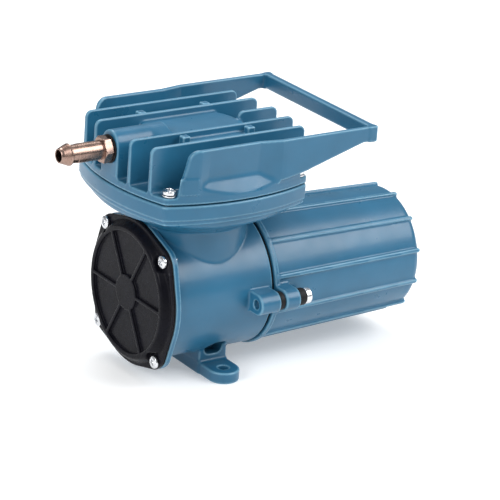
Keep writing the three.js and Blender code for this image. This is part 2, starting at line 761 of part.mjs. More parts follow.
function armatureCore() {
  const teeth = 12;
  const outer = 27.5;
  const slotDepth = 10;
  const shape = new THREE.Shape();
  for (let k = 0; k < teeth; k += 1) {
    const centre = (k / teeth) * 2 * Math.PI;
    const half = Math.PI / teeth;
    const corners = [[-0.72, outer], [0.72, outer], [0.72, outer - slotDepth], [1, outer - slotDepth]];
    corners.forEach(([share, radius], i) => {
      const angle = centre + share * half;
      const y = radius * Math.cos(angle);
      const z = shaftZ + radius * Math.sin(angle);
      if (k === 0 && i === 0) shape.moveTo(y, z);
      else shape.lineTo(y, z);
    });
    const nextAngle = centre + 1.28 * half;
    shape.lineTo((outer - slotDepth) * Math.cos(nextAngle), shaftZ + (outer - slotDepth) * Math.sin(nextAngle));
  }
  shape.closePath();
  return cut(lengthwise(shape, 50, 100), rodX(shaftRadius + gap, 49, 101, { sides: smallFacets }));
}

function winding(x0, x1) {
  const middle = (x0 + x1) / 2;
  const profile = [
    [x0, 9], [x0, 20], [middle, 25], [x1, 20], [x1, 9], [middle, 7.5], [x0, 9],
  ];
  return turnedX(profile, { sides: smallFacets });
}

function fieldMagnet(upward) {
  const shape = new THREE.Shape();
  const middle = upward * Math.PI / 2;
  const half = 1.05;
  shape.absarc(0, shaftZ, 31.2, middle - half, middle + half);
  shape.absarc(0, shaftZ, 28.3, middle + half, middle - half, true);
  shape.closePath();
  return lengthwise(shape, 47, 103, 4);
}

function brushPlate() {
  const disc = tubeX(13, 34, 122.5, 124.9);
  const holes = sides.map((side) => rodX(2.4, 120, 127, { sides: tinyFacets, z: shaftZ + side * 24 }));
  return cut(disc, ...holes);
}

function sideSpan(side, near, far) {
  return [Math.min(side * near, side * far), Math.max(side * near, side * far)];
}

function brushHolder(side) {
  const outside = block(112.4, 122.2, ...sideSpan(side, 13, 27), shaftZ - 5, shaftZ + 5);
  const channel = block(114.2, 120.2, ...sideSpan(side, 12, 26), shaftZ - 3.3, shaftZ + 3.3);
  return cut(outside, channel);
}

function carbonBrush(side) {
  return block(114.5, 119.9, ...sideSpan(side, 11.4, 19.5), shaftZ - 3, shaftZ + 3);
}

// A short coil spring between the brush and the closed end of its holder.
function brushSpring(side) {
  const turns = 3;
  const stepsPerTurn = 6;
  const points = [];
  for (let i = 0; i <= turns * stepsPerTurn; i += 1) {
    const angle = (i / stepsPerTurn) * 2 * Math.PI;
    const along = 20.3 + (i / (turns * stepsPerTurn)) * 4.9;
    points.push(new THREE.Vector3(117.2 + 2.1 * Math.cos(angle), side * along, shaftZ + 2.1 * Math.sin(angle)));
  }
  const wire = new THREE.Shape();
  wire.absarc(0, 0, 0.35, 0, 2 * Math.PI);
  const settings = { steps: turns * stepsPerTurn, extrudePath: new THREE.CatmullRomCurve3(points), curveSegments: 2 };
  return solid(new THREE.ExtrudeGeometry(wire, settings));
}

function cordGland() {
  const wallY = bodyRadius(glandX);
  const hexagon = new THREE.CylinderGeometry(7.6, 7.6, 5, 6);
  hexagon.translate(glandX, wallY + 5.6, shaftZ);
  const body = join(
    rodY(5, wallY - wallThickness + 0.4, wallY + 2, { x: glandX, z: shaftZ }),
    rodY(7.8, wallY + 1, wallY + 3.2, { x: glandX, z: shaftZ }),
    solid(hexagon),
    rodY(5.4, wallY + 8, wallY + 11.5, { x: glandX, z: shaftZ }),
  );
  return cut(body, rodY(2.6, wallY - 5, wallY + 13, { sides: tinyFacets, x: glandX, z: shaftZ }));
}

// ---- Assembly ---------------------------------------------------------------------------------

function addCrankcaseGroup() {
  add('crankcase', crankcase(), blueEnamel);
  add('front_cover', frontCover(), blackEnamel);
  add('front_cover_gasket', coverGasket(), rubber);
  coverScrewAngles.forEach((degrees, i) => {
    const place = aroundShaft(coverScrewCircle, degrees);
    add(`cover_screw_${i + 1}`, screwX(coverFlangeFrontX - gap, 8.5, place), zinc);
  });
}

function addHeadGroup() {
  add('cylinder_head', cylinderHead(), blueEnamel);
  add('head_gasket', tubeZ(27.5, 33.8, valvePlateTopZ + gap, headJointZ, { x: cylinderX }), rubber);
  sides.forEach((alongX, i) => sides.forEach((alongY, j) => {
    const number = 2 * i + j + 1;
    const x = cylinderX + alongX * headScrewX;
    const y = alongY * headScrewY;
    const washerZ = headPlateTopZ + gap;
    add(`head_washer_${number}`, tubeZ(2.8, 4.4, washerZ, washerZ + 0.8, { x, y, sides: smallFacets }), zinc);
    add(`head_screw_${number}`, screwZ(washerZ + 0.8 + gap, 13, x, y), zinc);
  }));
  add('outlet_barb', outletBarb(), brass);
  const sealX = barbHexEndX + gap;
  const seal = tubeX(barbThreadRadius + gap, 8.5, sealX, outletFaceX - gap, { z: outletZ });
  add('barb_seal', seal, rubber);
}

function addCylinderGroup() {
  const plate = rodZ(valvePlateRadius, valvePlateZ, valvePlateTopZ, { x: cylinderX });
  const plateWithPorts = cut(plate, ...reedPorts(valvePlateZ - 1, valvePlateTopZ + 1));
  add('cylinder_liner', cylinderLiner(), castAluminium);
  add('valve_plate', plateWithPorts, castAluminium);
  add('outlet_reed', reed(valvePlateTopZ + gap), springSteel);
}

function addPistonGroup() {
  add('connecting_rod', connectingRod(), castAluminium);
  add('rod_bearing', bearing(cylinderX, shaftZ + crankThrow), steel);
  add('piston_cup', pistonCup(), ptfe);
  add('piston_clamp_plate', pistonClampPlate(), castAluminium);
  add('piston_screw', pistonScrew(), zinc);
  add('inlet_reed', inletReed(), springSteel);
}

function addRotorGroup() {
  const pinPlace = { y: 0, z: shaftZ + crankThrow };
  const pinScrew = { headRadius: 5.4, headHeight: 1.6, radius: 1.6 };
  add('crank_eccentric', crankEccentric(), castAluminium);
  add('crank_pin_screw', screwX(cylinderX - 4.7, 7, pinPlace, pinScrew), zinc);
  add('motor_shaft', rodX(shaftRadius, -0.2, endWallX - 2.5, { sides: smallFacets }), steel);
  add('armature_core', armatureCore(), ironLaminations);
  add('front_winding', winding(40.5, 49.7), copper);
  add('rear_winding', winding(100.3, 109.5), copper);
  add('commutator', tubeX(shaftRadius + gap, 11, 111, 121, { sides: smallFacets }), copper);
}

function addMotorGroup() {
  add('motor_housing', motorHousing(), blueEnamel);
  add('motor_seal', tubeX(38.4, 41.6, barrelEndX + gap, motorStartX - gap, { sides: largeFacets }), rubber);
  sides.forEach((side, i) => {
    const name = ['near', 'far'][i];
    const washerX = motorLugEndX + gap;
    const washerEndX = washerX + lugBushLength;
    const washer = tubeX(2.8, 5.3, washerX, washerEndX, { sides: smallFacets, y: side * lugY });
    const head = { headRadius: 4.9, headHeight: 4.9, radius: 2.5 };
    const screw = screwX(0, 30, { y: side * lugY, z: 0 }, head);
    const turned = screw.rotate([0, 0, 180]).translate([washerEndX + gap, 2 * side * lugY, shaftZ]);
    add(`clamp_washer_${name}`, washer, rubber);
    add(`clamp_screw_${name}`, turned, zinc);
    add(`brush_holder_${name}`, brushHolder(side), brass);
    add(`carbon_brush_${name}`, carbonBrush(side), carbon);
    add(`brush_spring_${name}`, brushSpring(side), springSteel);
  });
  add('front_bearing', bearing(webEndX - bearingWidth / 2), steel);
  add('rear_bearing', bearing(endWallX - 5.9), steel);
  add('bearing_wave_washer', tubeX(7, 10.6, endWallX - 1.9, endWallX - 1.1, { sides: smallFacets }), springSteel);
  add('flux_ring', tubeX(31.6, 34.9, 42, 118, { sides: largeFacets }), steel);
  add('field_magnet_upper', fieldMagnet(1), magnetFerrite);
  add('field_magnet_lower', fieldMagnet(-1), magnetFerrite);
  add('brush_plate', brushPlate(), fibreBoard);
  add('cord_gland', cordGland(), rubber);
}

addCrankcaseGroup();
addCylinderGroup();
addPistonGroup();
addRotorGroup();
addMotorGroup();
addHeadGroup();

export default model;
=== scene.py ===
"""The looks of a 12 volt piston air pump: its cast housings, cover, fasteners and hose barb.

Shapes are worked out in millimetres in the CAD frame: +X runs along the motor shaft towards the
motor's rear end, +Z is up, and the origin is the centre of the foot's underside. A casting is a
distance function (negative inside), so its fillets and rounded edges are part of its shape.
"""

import json
import math

import bmesh
import bpy
import numpy as np
from mathutils import Matrix, Vector


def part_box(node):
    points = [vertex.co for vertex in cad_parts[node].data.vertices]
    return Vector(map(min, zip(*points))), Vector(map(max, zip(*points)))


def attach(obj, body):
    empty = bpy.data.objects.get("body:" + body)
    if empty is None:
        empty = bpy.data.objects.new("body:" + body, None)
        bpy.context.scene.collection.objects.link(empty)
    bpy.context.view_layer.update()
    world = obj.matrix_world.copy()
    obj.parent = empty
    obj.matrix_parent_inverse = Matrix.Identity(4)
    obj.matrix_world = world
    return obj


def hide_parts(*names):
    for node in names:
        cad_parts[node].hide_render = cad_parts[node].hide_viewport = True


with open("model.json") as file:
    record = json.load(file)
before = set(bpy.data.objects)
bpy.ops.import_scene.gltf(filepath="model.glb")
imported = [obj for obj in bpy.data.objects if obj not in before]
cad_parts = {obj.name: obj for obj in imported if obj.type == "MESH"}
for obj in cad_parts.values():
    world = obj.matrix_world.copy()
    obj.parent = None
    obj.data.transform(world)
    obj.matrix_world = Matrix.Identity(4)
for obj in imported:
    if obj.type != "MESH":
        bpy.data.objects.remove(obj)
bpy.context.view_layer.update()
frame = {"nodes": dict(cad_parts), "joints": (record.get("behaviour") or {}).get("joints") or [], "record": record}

MM = 0.001

# ---- Driving dimensions, in millimetres ----------------------------------------------------------


def corners(node):
    """A CAD node's lowest and highest corners."""
    return [np.array(corner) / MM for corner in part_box(node)]


CASE_LOW, CASE_HIGH = corners("crankcase")
HEAD_LOW, HEAD_HIGH = corners("cylinder_head")
MOTOR_LOW, MOTOR_HIGH = corners("motor_housing")
COVER_LOW, COVER_HIGH = corners("front_cover")
BARB_LOW, BARB_HIGH = corners("outlet_barb")
GLAND_LOW, GLAND_HIGH = corners("cord_gland")
CRANK_JOINT = next(joint for joint in frame["joints"] if joint["name"] == "crank_spin")

GAP = 0.3
SHAFT_Z = CRANK_JOINT["pos_m"][2] / MM
CYLINDER_X = (CASE_LOW[0] + CASE_HIGH[0]) / 2
SIDES = (-1, 1)

# Head outline: a square whose front, rear and side edges bulge
FRONT_BULGE = 9.0
SIDE_BULGE = 9.4
OUTLINE_CORNER = 1.4
HALF_X = (CASE_HIGH[0] - CASE_LOW[0]) / 2 - FRONT_BULGE
HALF_Y = (CASE_HIGH[1] - CASE_LOW[1]) / 2 - SIDE_BULGE

# Crankcase
FLANGE_FRONT = -42.8
FLANGE_BACK = -39.2
FLANGE_RADIUS = 45.4
BARREL_RADIUS = 42.3
BARREL_END = 27.4
CRANK_ROOM_RADIUS = 37.5
CRANK_ROOM_END = 6.0
WEB_END = 15.0
EAR_RADIUS = 5.4
COVER_HOLE_RADIUS = 2.3
COVER_SCREW_ANGLES = [math.radians(a) for a in (47.5, 137.5, 227.5, 317.5)]
NECK_RADIUS = 34.5
RIM_TOP = CASE_HIGH[2]
RIM_STEP = 112.8
RIM_BOTTOM = 110.0
HEAD_SCREW = 44.5           # from the cylinder's axis, in X and in Y
HEAD_HOLE_RADIUS = 2.8
LINER_SEAT_RADIUS = 30.3
VALVE_SEAT_RADIUS = 34.3
VALVE_SEAT_Z = 117.7
BEARING_SEAT_RADIUS = 11.3
BEARING_SEAT_START = 7.7
LUG_Y = 49.6
LUG_RADIUS = 6.5
LUG_ROOT_Y = 33.0
LUG_START = 10.7
LUG_END = 24.8
LUG_HOLE_RADIUS = 2.8

# Foot
FOOT_HALF_X = 9.8
FOOT_THICKNESS = 7.1
FOOT_HOLE_Y = 35.2
FOOT_HOLE_RADIUS = 3.3
PEDESTAL_HALF_Y = 23.3
INTAKE_HALF_X = 6.2
INTAKE_Y = (15.0, 32.0)
INTAKE_Z = (11.4, 21.4)

# Cylinder head
HEAD_FLOOR = HEAD_LOW[2]
ARM_TOP = HEAD_HIGH[2]
PLATE_TOP = 127.2
FIN_TOP = 154.7
FIN_Y = (19.1, 36.2)
MIDDLE_FIN_START = 22.9
POST_X = 22.5
POST_Y = 24.2
POST_HALF = 2.5
CHAMBER_RADIUS = 32.0
CHAMBER_TOP = 150.0
CHAMBER_INNER_RADIUS = 26.0
CHAMBER_INNER_TOP = 146.0
OUTLET_Z = 143.6
OUTLET_FACE = HEAD_LOW[0]
OUTLET_BORE_RADIUS = 5.0
OUTLET_THREAD_RADIUS = 6.6
BOSS_HALF_WIDTH = 8.8
BOSS_END = -29.5
SKIRT_TOP = 138.6
SKIRT_INNER_Y = 49.6
SCREW_ROOM_TOP = 150.0
ARM_Y = 52.9                # middle of an arm's wall beside the fins, at its top
ARM_OUTER_Y = 55.5          # and behind them
GRIP_END = HEAD_HIGH[0]
GRIP_HALF_Y = 57.0
GRIP_UNDERSIDE = ARM_TOP - 9.4

# Motor
MOTOR_START = MOTOR_LOW[0]
MOTOR_END = MOTOR_HIGH[0]
MOTOR_LUG_END = 39.0
MOTOR_FRONT_RADIUS = 42.0
MOTOR_REAR_RADIUS = 38.8
MOTOR_WALL = 2.6
MOTOR_REAR_WALL = 3.4
GLAND_X = (GLAND_LOW[0] + GLAND_HIGH[0]) / 2
RIB_COUNT = 12
RIB_HEIGHT = 1.6

# Front cover
COVER_FLANGE_FRONT = -45.8
COVER_RIM_RADIUS = 40.2
COVER_DISH_RADIUS = 37.2
COVER_DISH_FLOOR = -48.2
COVER_HUB_RADIUS = 10.9

# Fasteners
WASHER_THICKNESS = 0.8
BUSH_LENGTH = 4.8

# ---- Distance functions --------------------------------------------------------------------------


def overlap(a, b, edge=0.0):
    """What lies in both a and b, with the edge between them rounded."""
    if edge == 0:
        return np.maximum(a, b)
    corner = np.hypot(np.maximum(a + edge, 0), np.maximum(b + edge, 0))
    return np.minimum(np.maximum(a, b), -edge) + corner


def joined(a, b, fillet=0.0):
    """a and b together, with a fillet in the corner between them."""
    return -overlap(-a, -b, fillet)


def cut(a, b, edge=0.0):
    """a without b, with the cut's edge rounded."""
    return overlap(a, -b, edge)


def span(value, low, high):
    return np.maximum(low - value, value - high)


def round_bar(across, along, radius, start, end, edge=0.5):
    """A rod, from the distance to its axis and the place along it."""
    return overlap(across - radius, span(along, start, end), edge)


def slab(across, along, start, end, edge=0.5):
    """A flat outline given thickness."""
    return overlap(across, span(along, start, end), edge)


def box(x, y, z, low, high, edge=0.5):
    plan = overlap(span(x, low[0], high[0]), span(y, low[1], high[1]), edge)
    return slab(plan, z, low[2], high[2], edge)


def path(u, v, points):
    """Distance to a line of straight stretches."""
    nearest = np.inf
    for (u0, v0), (u1, v1) in zip(points, points[1:]):
        du, dv = u1 - u0, v1 - v0
        along = np.clip(((u - u0) * du + (v - v0) * dv) / (du * du + dv * dv), 0, 1)
        nearest = np.minimum(nearest, np.hypot(u - u0 - along * du, v - v0 - along * dv))
    return nearest


def arc_radius(half_chord, bulge):
    return (half_chord ** 2 + bulge ** 2) / (2 * bulge)


def head_outline(x, y, inset=0.0):
    """Distance in plan to the outline that the rim and the head share."""
    front = arc_radius(HALF_Y, FRONT_BULGE)
    side = arc_radius(HALF_X, SIDE_BULGE)
    front_centre = HALF_X + FRONT_BULGE - front
    side_centre = HALF_Y + SIDE_BULGE - side
    from_middle = x - CYLINDER_X
    ends = np.hypot(np.abs(from_middle) - front_centre, y) - front
    flanks = np.hypot(from_middle, np.abs(y) - side_centre) - side
    return overlap(ends, flanks, OUTLINE_CORNER) + inset


def flange_outline(y, z):
    """A disc about the shaft, drawn out to four screw ears by straight tangents."""
    outline = np.hypot(y, z - SHAFT_Z) - FLANGE_RADIUS
    up = (FLANGE_RADIUS - EAR_RADIUS) / FLANGE_RADIUS
    aside = math.sqrt(1 - up ** 2)
    for angle in COVER_SCREW_ANGLES:
        along = y * math.cos(angle) + (z - SHAFT_Z) * math.sin(angle)
        across = (z - SHAFT_Z) * math.cos(angle) - y * math.sin(angle)
        one, other = (along * up + side * across * aside - FLANGE_RADIUS for side in SIDES)
        ear = overlap(overlap(one, other, EAR_RADIUS), FLANGE_RADIUS - EAR_RADIUS - along)
        outline = np.minimum(outline, ear)
    return outline


def cover_screw_holes(y, z, radius):
    holes = np.inf
    for angle in COVER_SCREW_ANGLES:
        hole_y = FLANGE_RADIUS * math.cos(angle)
        hole_z = SHAFT_Z + FLANGE_RADIUS * math.sin(angle)
        holes = np.minimum(holes, np.hypot(y - hole_y, z - hole_z) - radius)
    return holes


def head_screw_holes(x, y, radius):
    return np.hypot(np.abs(x - CYLINDER_X) - HEAD_SCREW, np.abs(y) - HEAD_SCREW) - radius


def clamp_lug(x, y, z, start, end):
    """The pair of clamp lugs on the two sides of the barrel or the motor, each with a hole."""
    across = np.hypot(np.maximum(np.abs(y) - LUG_Y, 0), z - SHAFT_Z) - LUG_RADIUS
    return overlap(slab(across, x, start, end, 0.9), LUG_ROOT_Y - np.abs(y))


def clamp_hole(y, z):
    return np.hypot(np.abs(y) - LUG_Y, z - SHAFT_Z) - LUG_HOLE_RADIUS


# ---- Castings ------------------------------------------------------------------------------------


def bowl(x, y, z):
    """The underside of the rim, which narrows in a curve to the cylinder's neck."""
    heights = [96.0, 99.0, 101.5, 104.5, 107.5, RIM_BOTTOM + 1]
    radii = [36.0, 40.0, 45.0, 51.0, 59.5, 70.0]
    flatness = 0.4              # brings a shallow cone's distance back to true scale
    cone = (np.hypot(x - CYLINDER_X, y) - np.interp(z, heights, radii)) * flatness
    return slab(overlap(cone, head_outline(x, y, 2.5), 3), z, heights[0], heights[-1], 0.5)


def foot(x, y, z):
    across = np.hypot(x, np.maximum(np.abs(y) - FOOT_HOLE_Y, 0)) - FOOT_HALF_X
    plate = slab(across, z, 0, FOOT_THICKNESS, 0.8)
    pedestal_low = (-FOOT_HALF_X, -PEDESTAL_HALF_Y, 0)
    pedestal_high = (FOOT_HALF_X, PEDESTAL_HALF_Y, SHAFT_Z)
    pedestal = box(x, y, z, pedestal_low, pedestal_high, 1.0)
    return joined(plate, pedestal, 2.2)


def crankcase(x, y, z):
    from_shaft = np.hypot(y, z - SHAFT_Z)
    from_cylinder = np.hypot(x - CYLINDER_X, y)
    barrel = round_bar(from_shaft, x, BARREL_RADIUS, FLANGE_FRONT, BARREL_END, 0.9)
    flange = slab(flange_outline(y, z), x, FLANGE_FRONT, FLANGE_BACK, 0.7)
    neck = round_bar(from_cylinder, z, NECK_RADIUS, SHAFT_Z, RIM_BOTTOM)
    upper = joined(neck, bowl(x, y, z), 2)
    lip = slab(head_outline(x, y, 1.0), z, RIM_BOTTOM, RIM_TOP - 1, 1.0)
    band = slab(head_outline(x, y), z, RIM_STEP, RIM_TOP, 1.0)
    rim = joined(lip, band, 0.3)
    body = joined(barrel, flange, 1.5)
    body = joined(body, upper, 0.8)
    body = joined(body, clamp_lug(x, y, z, LUG_START, LUG_END), 1.2)
    body = joined(body, foot(x, y, z), 1.2)
    body = joined(body, rim, 1.2)
    # Flat faces towards the cover and the motor
    body = cut(body, round_bar(from_shaft, x, FLANGE_RADIUS + 1.5, -99, FLANGE_FRONT, 0), 0.5)
    body = cut(body, round_bar(from_shaft, x, MOTOR_FRONT_RADIUS + 3, BARREL_END, 60, 0), 0.6)
    # Rooms inside, with a web that holds the front bearing between them
    body = cut(body, round_bar(from_shaft, x, CRANK_ROOM_RADIUS, -60, CRANK_ROOM_END), 0.5)
    body = cut(body, round_bar(from_shaft, x, CRANK_ROOM_RADIUS, WEB_END, 60), 0.5)
    body = cut(body, round_bar(from_shaft, x, 8, CRANK_ROOM_END - 1, WEB_END + 1), 0.3)
    bearing_seat = round_bar(from_shaft, x, BEARING_SEAT_RADIUS, BEARING_SEAT_START, WEB_END + 1, 0.2)
    body = cut(body, bearing_seat, 0.3)
    body = cut(body, round_bar(from_cylinder, z, LINER_SEAT_RADIUS, SHAFT_Z + 20, RIM_TOP + 1), 0.3)
    body = cut(body, round_bar(from_cylinder, z, VALVE_SEAT_RADIUS, VALVE_SEAT_Z, RIM_TOP + 1), 0.3)
    # Intake slots beside the pedestal, foot holes and screw holes
    slots = overlap(span(x, -INTAKE_HALF_X, INTAKE_HALF_X), span(z, *INTAKE_Z), 4.0)
    body = cut(body, slab(slots, np.abs(y), *INTAKE_Y, 0), 0.6)
    from_hole = np.hypot(x, np.abs(y) - FOOT_HOLE_Y)
    foot_holes = round_bar(from_hole, z, FOOT_HOLE_RADIUS, -1, FOOT_THICKNESS + 1)
    body = cut(body, foot_holes, 0.4)
    body = cut(body, slab(cover_screw_holes(y, z, COVER_HOLE_RADIUS), x, -60, FLANGE_BACK + 1, 0))
    head_holes = head_screw_holes(x, y, HEAD_HOLE_RADIUS)
    body = cut(body, slab(head_holes, z, RIM_STEP + 0.5, RIM_TOP + 1, 0))
    return cut(body, slab(clamp_hole(y, z), x, LUG_START - 1, BARREL_END + 1, 0), 0.4)


def fin(x, y, z, start, end, middle):
    """An upright plate with rounded upper corners, a little thicker at its root."""
    side = overlap(span(x, start, end), z - FIN_TOP, 4.0)
    half = 1.1 + 0.35 * (FIN_TOP - z) / (FIN_TOP - PLATE_TOP)
    return overlap(overlap(side, np.abs(y - middle) - half, 0.8), HEAD_FLOOR + 1 - z)


def outline_end(y):
    """How far in X the outline reaches from the cylinder's axis, at a distance y from the middle."""
    radius = arc_radius(HALF_Y, FRONT_BULGE)
    return HALF_X + FRONT_BULGE - radius + math.sqrt(radius ** 2 - y ** 2)


def fins(x, y, z):
    body = np.inf
    for middle in FIN_Y:
        reach = outline_end(middle)
        body = np.minimum(body, fin(x, np.abs(y), z, CYLINDER_X - reach, CYLINDER_X + reach, middle))
    return np.minimum(body, fin(x, y, z, MIDDLE_FIN_START, CYLINDER_X + outline_end(0), 0))


def outlet_boss(x, y, z):
    arc_z = FIN_TOP + 0.1 - BOSS_HALF_WIDTH
    across = np.hypot(y, np.maximum(z - arc_z, 0)) - BOSS_HALF_WIDTH
    return overlap(slab(across, x, OUTLET_FACE, BOSS_END, 1.0), HEAD_FLOOR + 1 - z)


def outline_side(x):
    """How far in Y the outline reaches at x."""
    radius = arc_radius(HALF_X, SIDE_BULGE)
    return HALF_Y + SIDE_BULGE - radius + math.sqrt(radius ** 2 - (x - CYLINDER_X) ** 2)


def arm_underside(x):
    places = [12, 17.5, 37, 75, GRIP_END]
    heights = [HEAD_FLOOR, 130.3, 134.6, GRIP_UNDERSIDE, GRIP_UNDERSIDE]
    return np.interp(x, places, heights)


def arms(x, y, z):
    """The handle's two arms: walls that follow the outline, run beside the fins and jog outward."""
    half = 1.5
    front = [(at, outline_side(at) - half) for at in (-52, -47, -42)]
    plan = [*front, (-37, ARM_Y), (3, ARM_Y), (17.2, ARM_OUTER_Y), (90, ARM_OUTER_Y)]
    lean = 0.12 * np.clip(ARM_TOP - z, 0, 22)
    lean = lean * np.clip((20 - x) / 16, 0, 1) * np.clip((x + 39) / 8, 0, 1)
    wall = path(x, np.abs(y) + lean, plan) - half
    front_edge = (-49.8 - x + 0.232 * (z - PLATE_TOP)) * 0.97
    side = overlap(front_edge, z - ARM_TOP, 5.0)
    side = overlap(side, (arm_underside(x) - z) * 0.95, 0.8)
    return overlap(wall, overlap(side, x - GRIP_END, 0.8), 1.1)


def skirts(x, y, z):
    """The solid flanks between the arms and the outline, scooped out beside the fins."""
    width = np.abs(y)
    flank = overlap(overlap(head_outline(x, y), SKIRT_INNER_Y - width, 0.6), span(x, -49, 36), 1.5)
    flank = slab(flank, z, HEAD_FLOOR, SKIRT_TOP, 0.8)
    above_slope = (PLATE_TOP - z + 1.75 * (57.4 - width)) / 2.02
    scoop = overlap(above_slope, span(x, -38, 26), 3.0)
    shoulder = overlap(span(width, 50, 56), span(x, 21, 37), 1.2)
    shoulder = overlap(overlap(shoulder, z - 135.2, 1.0), (arm_underside(x) - z) * 0.95, 0.8)
    return joined(cut(flank, scoop, 0.8), shoulder, 0.8)


def posts(x, y, z):
    from_post_x = np.abs(np.abs(x - CYLINDER_X) - POST_X)
    from_post_y = np.abs(np.abs(y) - POST_Y)
    plan = overlap(from_post_x - POST_HALF, from_post_y - POST_HALF, 0.8)
    return slab(plan, z, HEAD_FLOOR + 1, FIN_TOP - 0.6, 0.7)


def cylinder_head(x, y, z):
    from_cylinder = np.hypot(x - CYLINDER_X, y)
    plate = overlap(head_outline(x, y), z - PLATE_TOP, 1.2)
    plate = overlap(plate, HEAD_FLOOR - z, 0.4)
    chamber = overlap(overlap(from_cylinder - CHAMBER_RADIUS, z - CHAMBER_TOP, 2.5), HEAD_FLOOR + 1 - z)
    core = joined(chamber, outlet_boss(x, y, z), 5)
    body = joined(plate, core, 2.2)
    body = joined(body, fins(x, y, z), 1.8)
    body = joined(body, posts(x, y, z), 0.8)
    body = joined(body, skirts(x, y, z), 1.0)
    body = joined(body, arms(x, y, z), 1.4)
    grip_low = (GRIP_END - 5, -GRIP_HALF_Y, GRIP_UNDERSIDE)
    grip = box(x, y, z, grip_low, (GRIP_END, GRIP_HALF_Y, ARM_TOP), 1.1)
    body = joined(body, grip, 2.0)
    # Fillets stay inside the plate's outline, and a shadow gap runs round the joint below it
    body = cut(body, overlap(-head_outline(x, y), z - PLATE_TOP - 1.5), 0.3)
    body = cut(body, overlap(-head_outline(x, y, 1.8), z - HEAD_FLOOR - 0.9), 0.5)
    chamber_room = round_bar(from_cylinder, z, CHAMBER_INNER_RADIUS, HEAD_FLOOR - 2, CHAMBER_INNER_TOP, 2)
    body = cut(body, chamber_room, 0.4)
    from_outlet = np.hypot(y, z - OUTLET_Z)
    from_bore = np.hypot(y, z - OUTLET_Z + 2)
    bore = round_bar(from_bore, x, OUTLET_BORE_RADIUS, OUTLET_FACE - 5, BOSS_END - 1)
    body = cut(body, bore, 0.3)
    thread = round_bar(from_outlet, x, OUTLET_THREAD_RADIUS, OUTLET_FACE - 5, OUTLET_FACE + 11.5)
    body = cut(body, thread, 0.5)
    screw_pads = slab(head_screw_holes(x, y, 5.0), z, PLATE_TOP, SCREW_ROOM_TOP, 1.0)
    body = cut(body, screw_pads, 0.5)
    holes = head_screw_holes(x, y, HEAD_HOLE_RADIUS)
    return cut(body, slab(holes, z, HEAD_FLOOR - 1, SCREW_ROOM_TOP, 0))


def motor_radius(x):
    share = np.clip((x - MOTOR_START) / (MOTOR_END - MOTOR_START), 0, 1)
    return MOTOR_FRONT_RADIUS + (MOTOR_REAR_RADIUS - MOTOR_FRONT_RADIUS) * share


def motor_ribs(x, y, z):
    """Ribs along the housing, spaced evenly, the first ones half a step from the top."""
    from_shaft = np.hypot(y, z - SHAFT_Z)
    step = 2 * math.pi / RIB_COUNT
    angle = np.arctan2(y, z - SHAFT_Z)
    off_rib = angle - (np.floor(angle / step) + 0.5) * step
    height = from_shaft * np.cos(off_rib) - motor_radius(x) - RIB_HEIGHT
    rib = overlap(height, np.abs(from_shaft * np.sin(off_rib)) - 1.3, 0.7)
    rib = overlap(rib, x - (MOTOR_END - 0.8), 2.2)
    return overlap(rib, np.maximum(MOTOR_START + 1.5 - x, 36 - from_shaft))


def motor_housing(x, y, z):
    from_shaft = np.hypot(y, z - SHAFT_Z)
    radius = motor_radius(x)
    shell = overlap(overlap(from_shaft - radius, x - MOTOR_END, 5.5), MOTOR_START - x, 0.6)
    lip = round_bar(from_shaft, x, MOTOR_FRONT_RADIUS + RIB_HEIGHT, MOTOR_START, MOTOR_START + 3.2, 0.8)
    body = joined(shell, lip, 0.8)
    body = joined(body, motor_ribs(x, y, z), 1.0)
    body = joined(body, clamp_lug(x, y, z, MOTOR_START, MOTOR_LUG_END), 1.6)
    dish = round_bar(from_shaft, x, 30.5, MOTOR_END - 0.9, MOTOR_END + 5, 0.3)
    dish = cut(dish, from_shaft - 13, 0.3)
    body = cut(body, dish, 0.4)
    inner_end = MOTOR_END - MOTOR_REAR_WALL
    room = overlap(from_shaft - radius + MOTOR_WALL, x - inner_end, 2.5)
    bearing_boss = round_bar(from_shaft, x, 14, inner_end - 10.3, inner_end + 1)
    body = cut(body, cut(room, bearing_boss, 0.8), 0.4)
    bearing_seat = round_bar(from_shaft, x, BEARING_SEAT_RADIUS, inner_end - 12, inner_end, 0.2)
    body = cut(body, bearing_seat, 0.3)
    gland_hole = round_bar(np.hypot(x - GLAND_X, z - SHAFT_Z), y, 5.3, 30, 50, 0)
    body = cut(body, gland_hole, 0.4)
    return cut(body, slab(clamp_hole(y, z), x, MOTOR_START - 1, MOTOR_LUG_END + 1, 0), 0.4)


def front_cover(x, y, z):
    """A flat flange with ears, and a raised rim round a dish with a hub and six spokes."""
    from_shaft = np.hypot(y, z - SHAFT_Z)
    flange = slab(flange_outline(y, z), x, COVER_FLANGE_FRONT, COVER_HIGH[0], 0.6)
    sloped = from_shaft - COVER_RIM_RADIUS - (x - COVER_LOW[0]) * 0.75
    raised_rim = overlap(sloped, span(x, COVER_LOW[0], COVER_FLANGE_FRONT + 0.8), 1.1)
    screw_room = slab(cover_screw_holes(y, z, 6.0), x, -60, COVER_FLANGE_FRONT, 0)
    raised_rim = cut(raised_rim, screw_room, 1.0)
    body = joined(flange, raised_rim, 0.6)
    ribs = np.inf
    for angle in (0, math.pi / 3, 2 * math.pi / 3):
        across = (z - SHAFT_Z) * math.cos(angle) - y * math.sin(angle)
        ribs = np.minimum(ribs, np.abs(across) - 1.0)
    dish = overlap(overlap(from_shaft - COVER_DISH_RADIUS, COVER_HUB_RADIUS - from_shaft), -ribs, 1.0)
    body = cut(body, overlap(dish, x - COVER_DISH_FLOOR, 0.5), 0.5)
    return cut(body, cover_screw_holes(y, z, COVER_HOLE_RADIUS), 0.3)


# ---- Meshes --------------------------------------------------------------------------------------


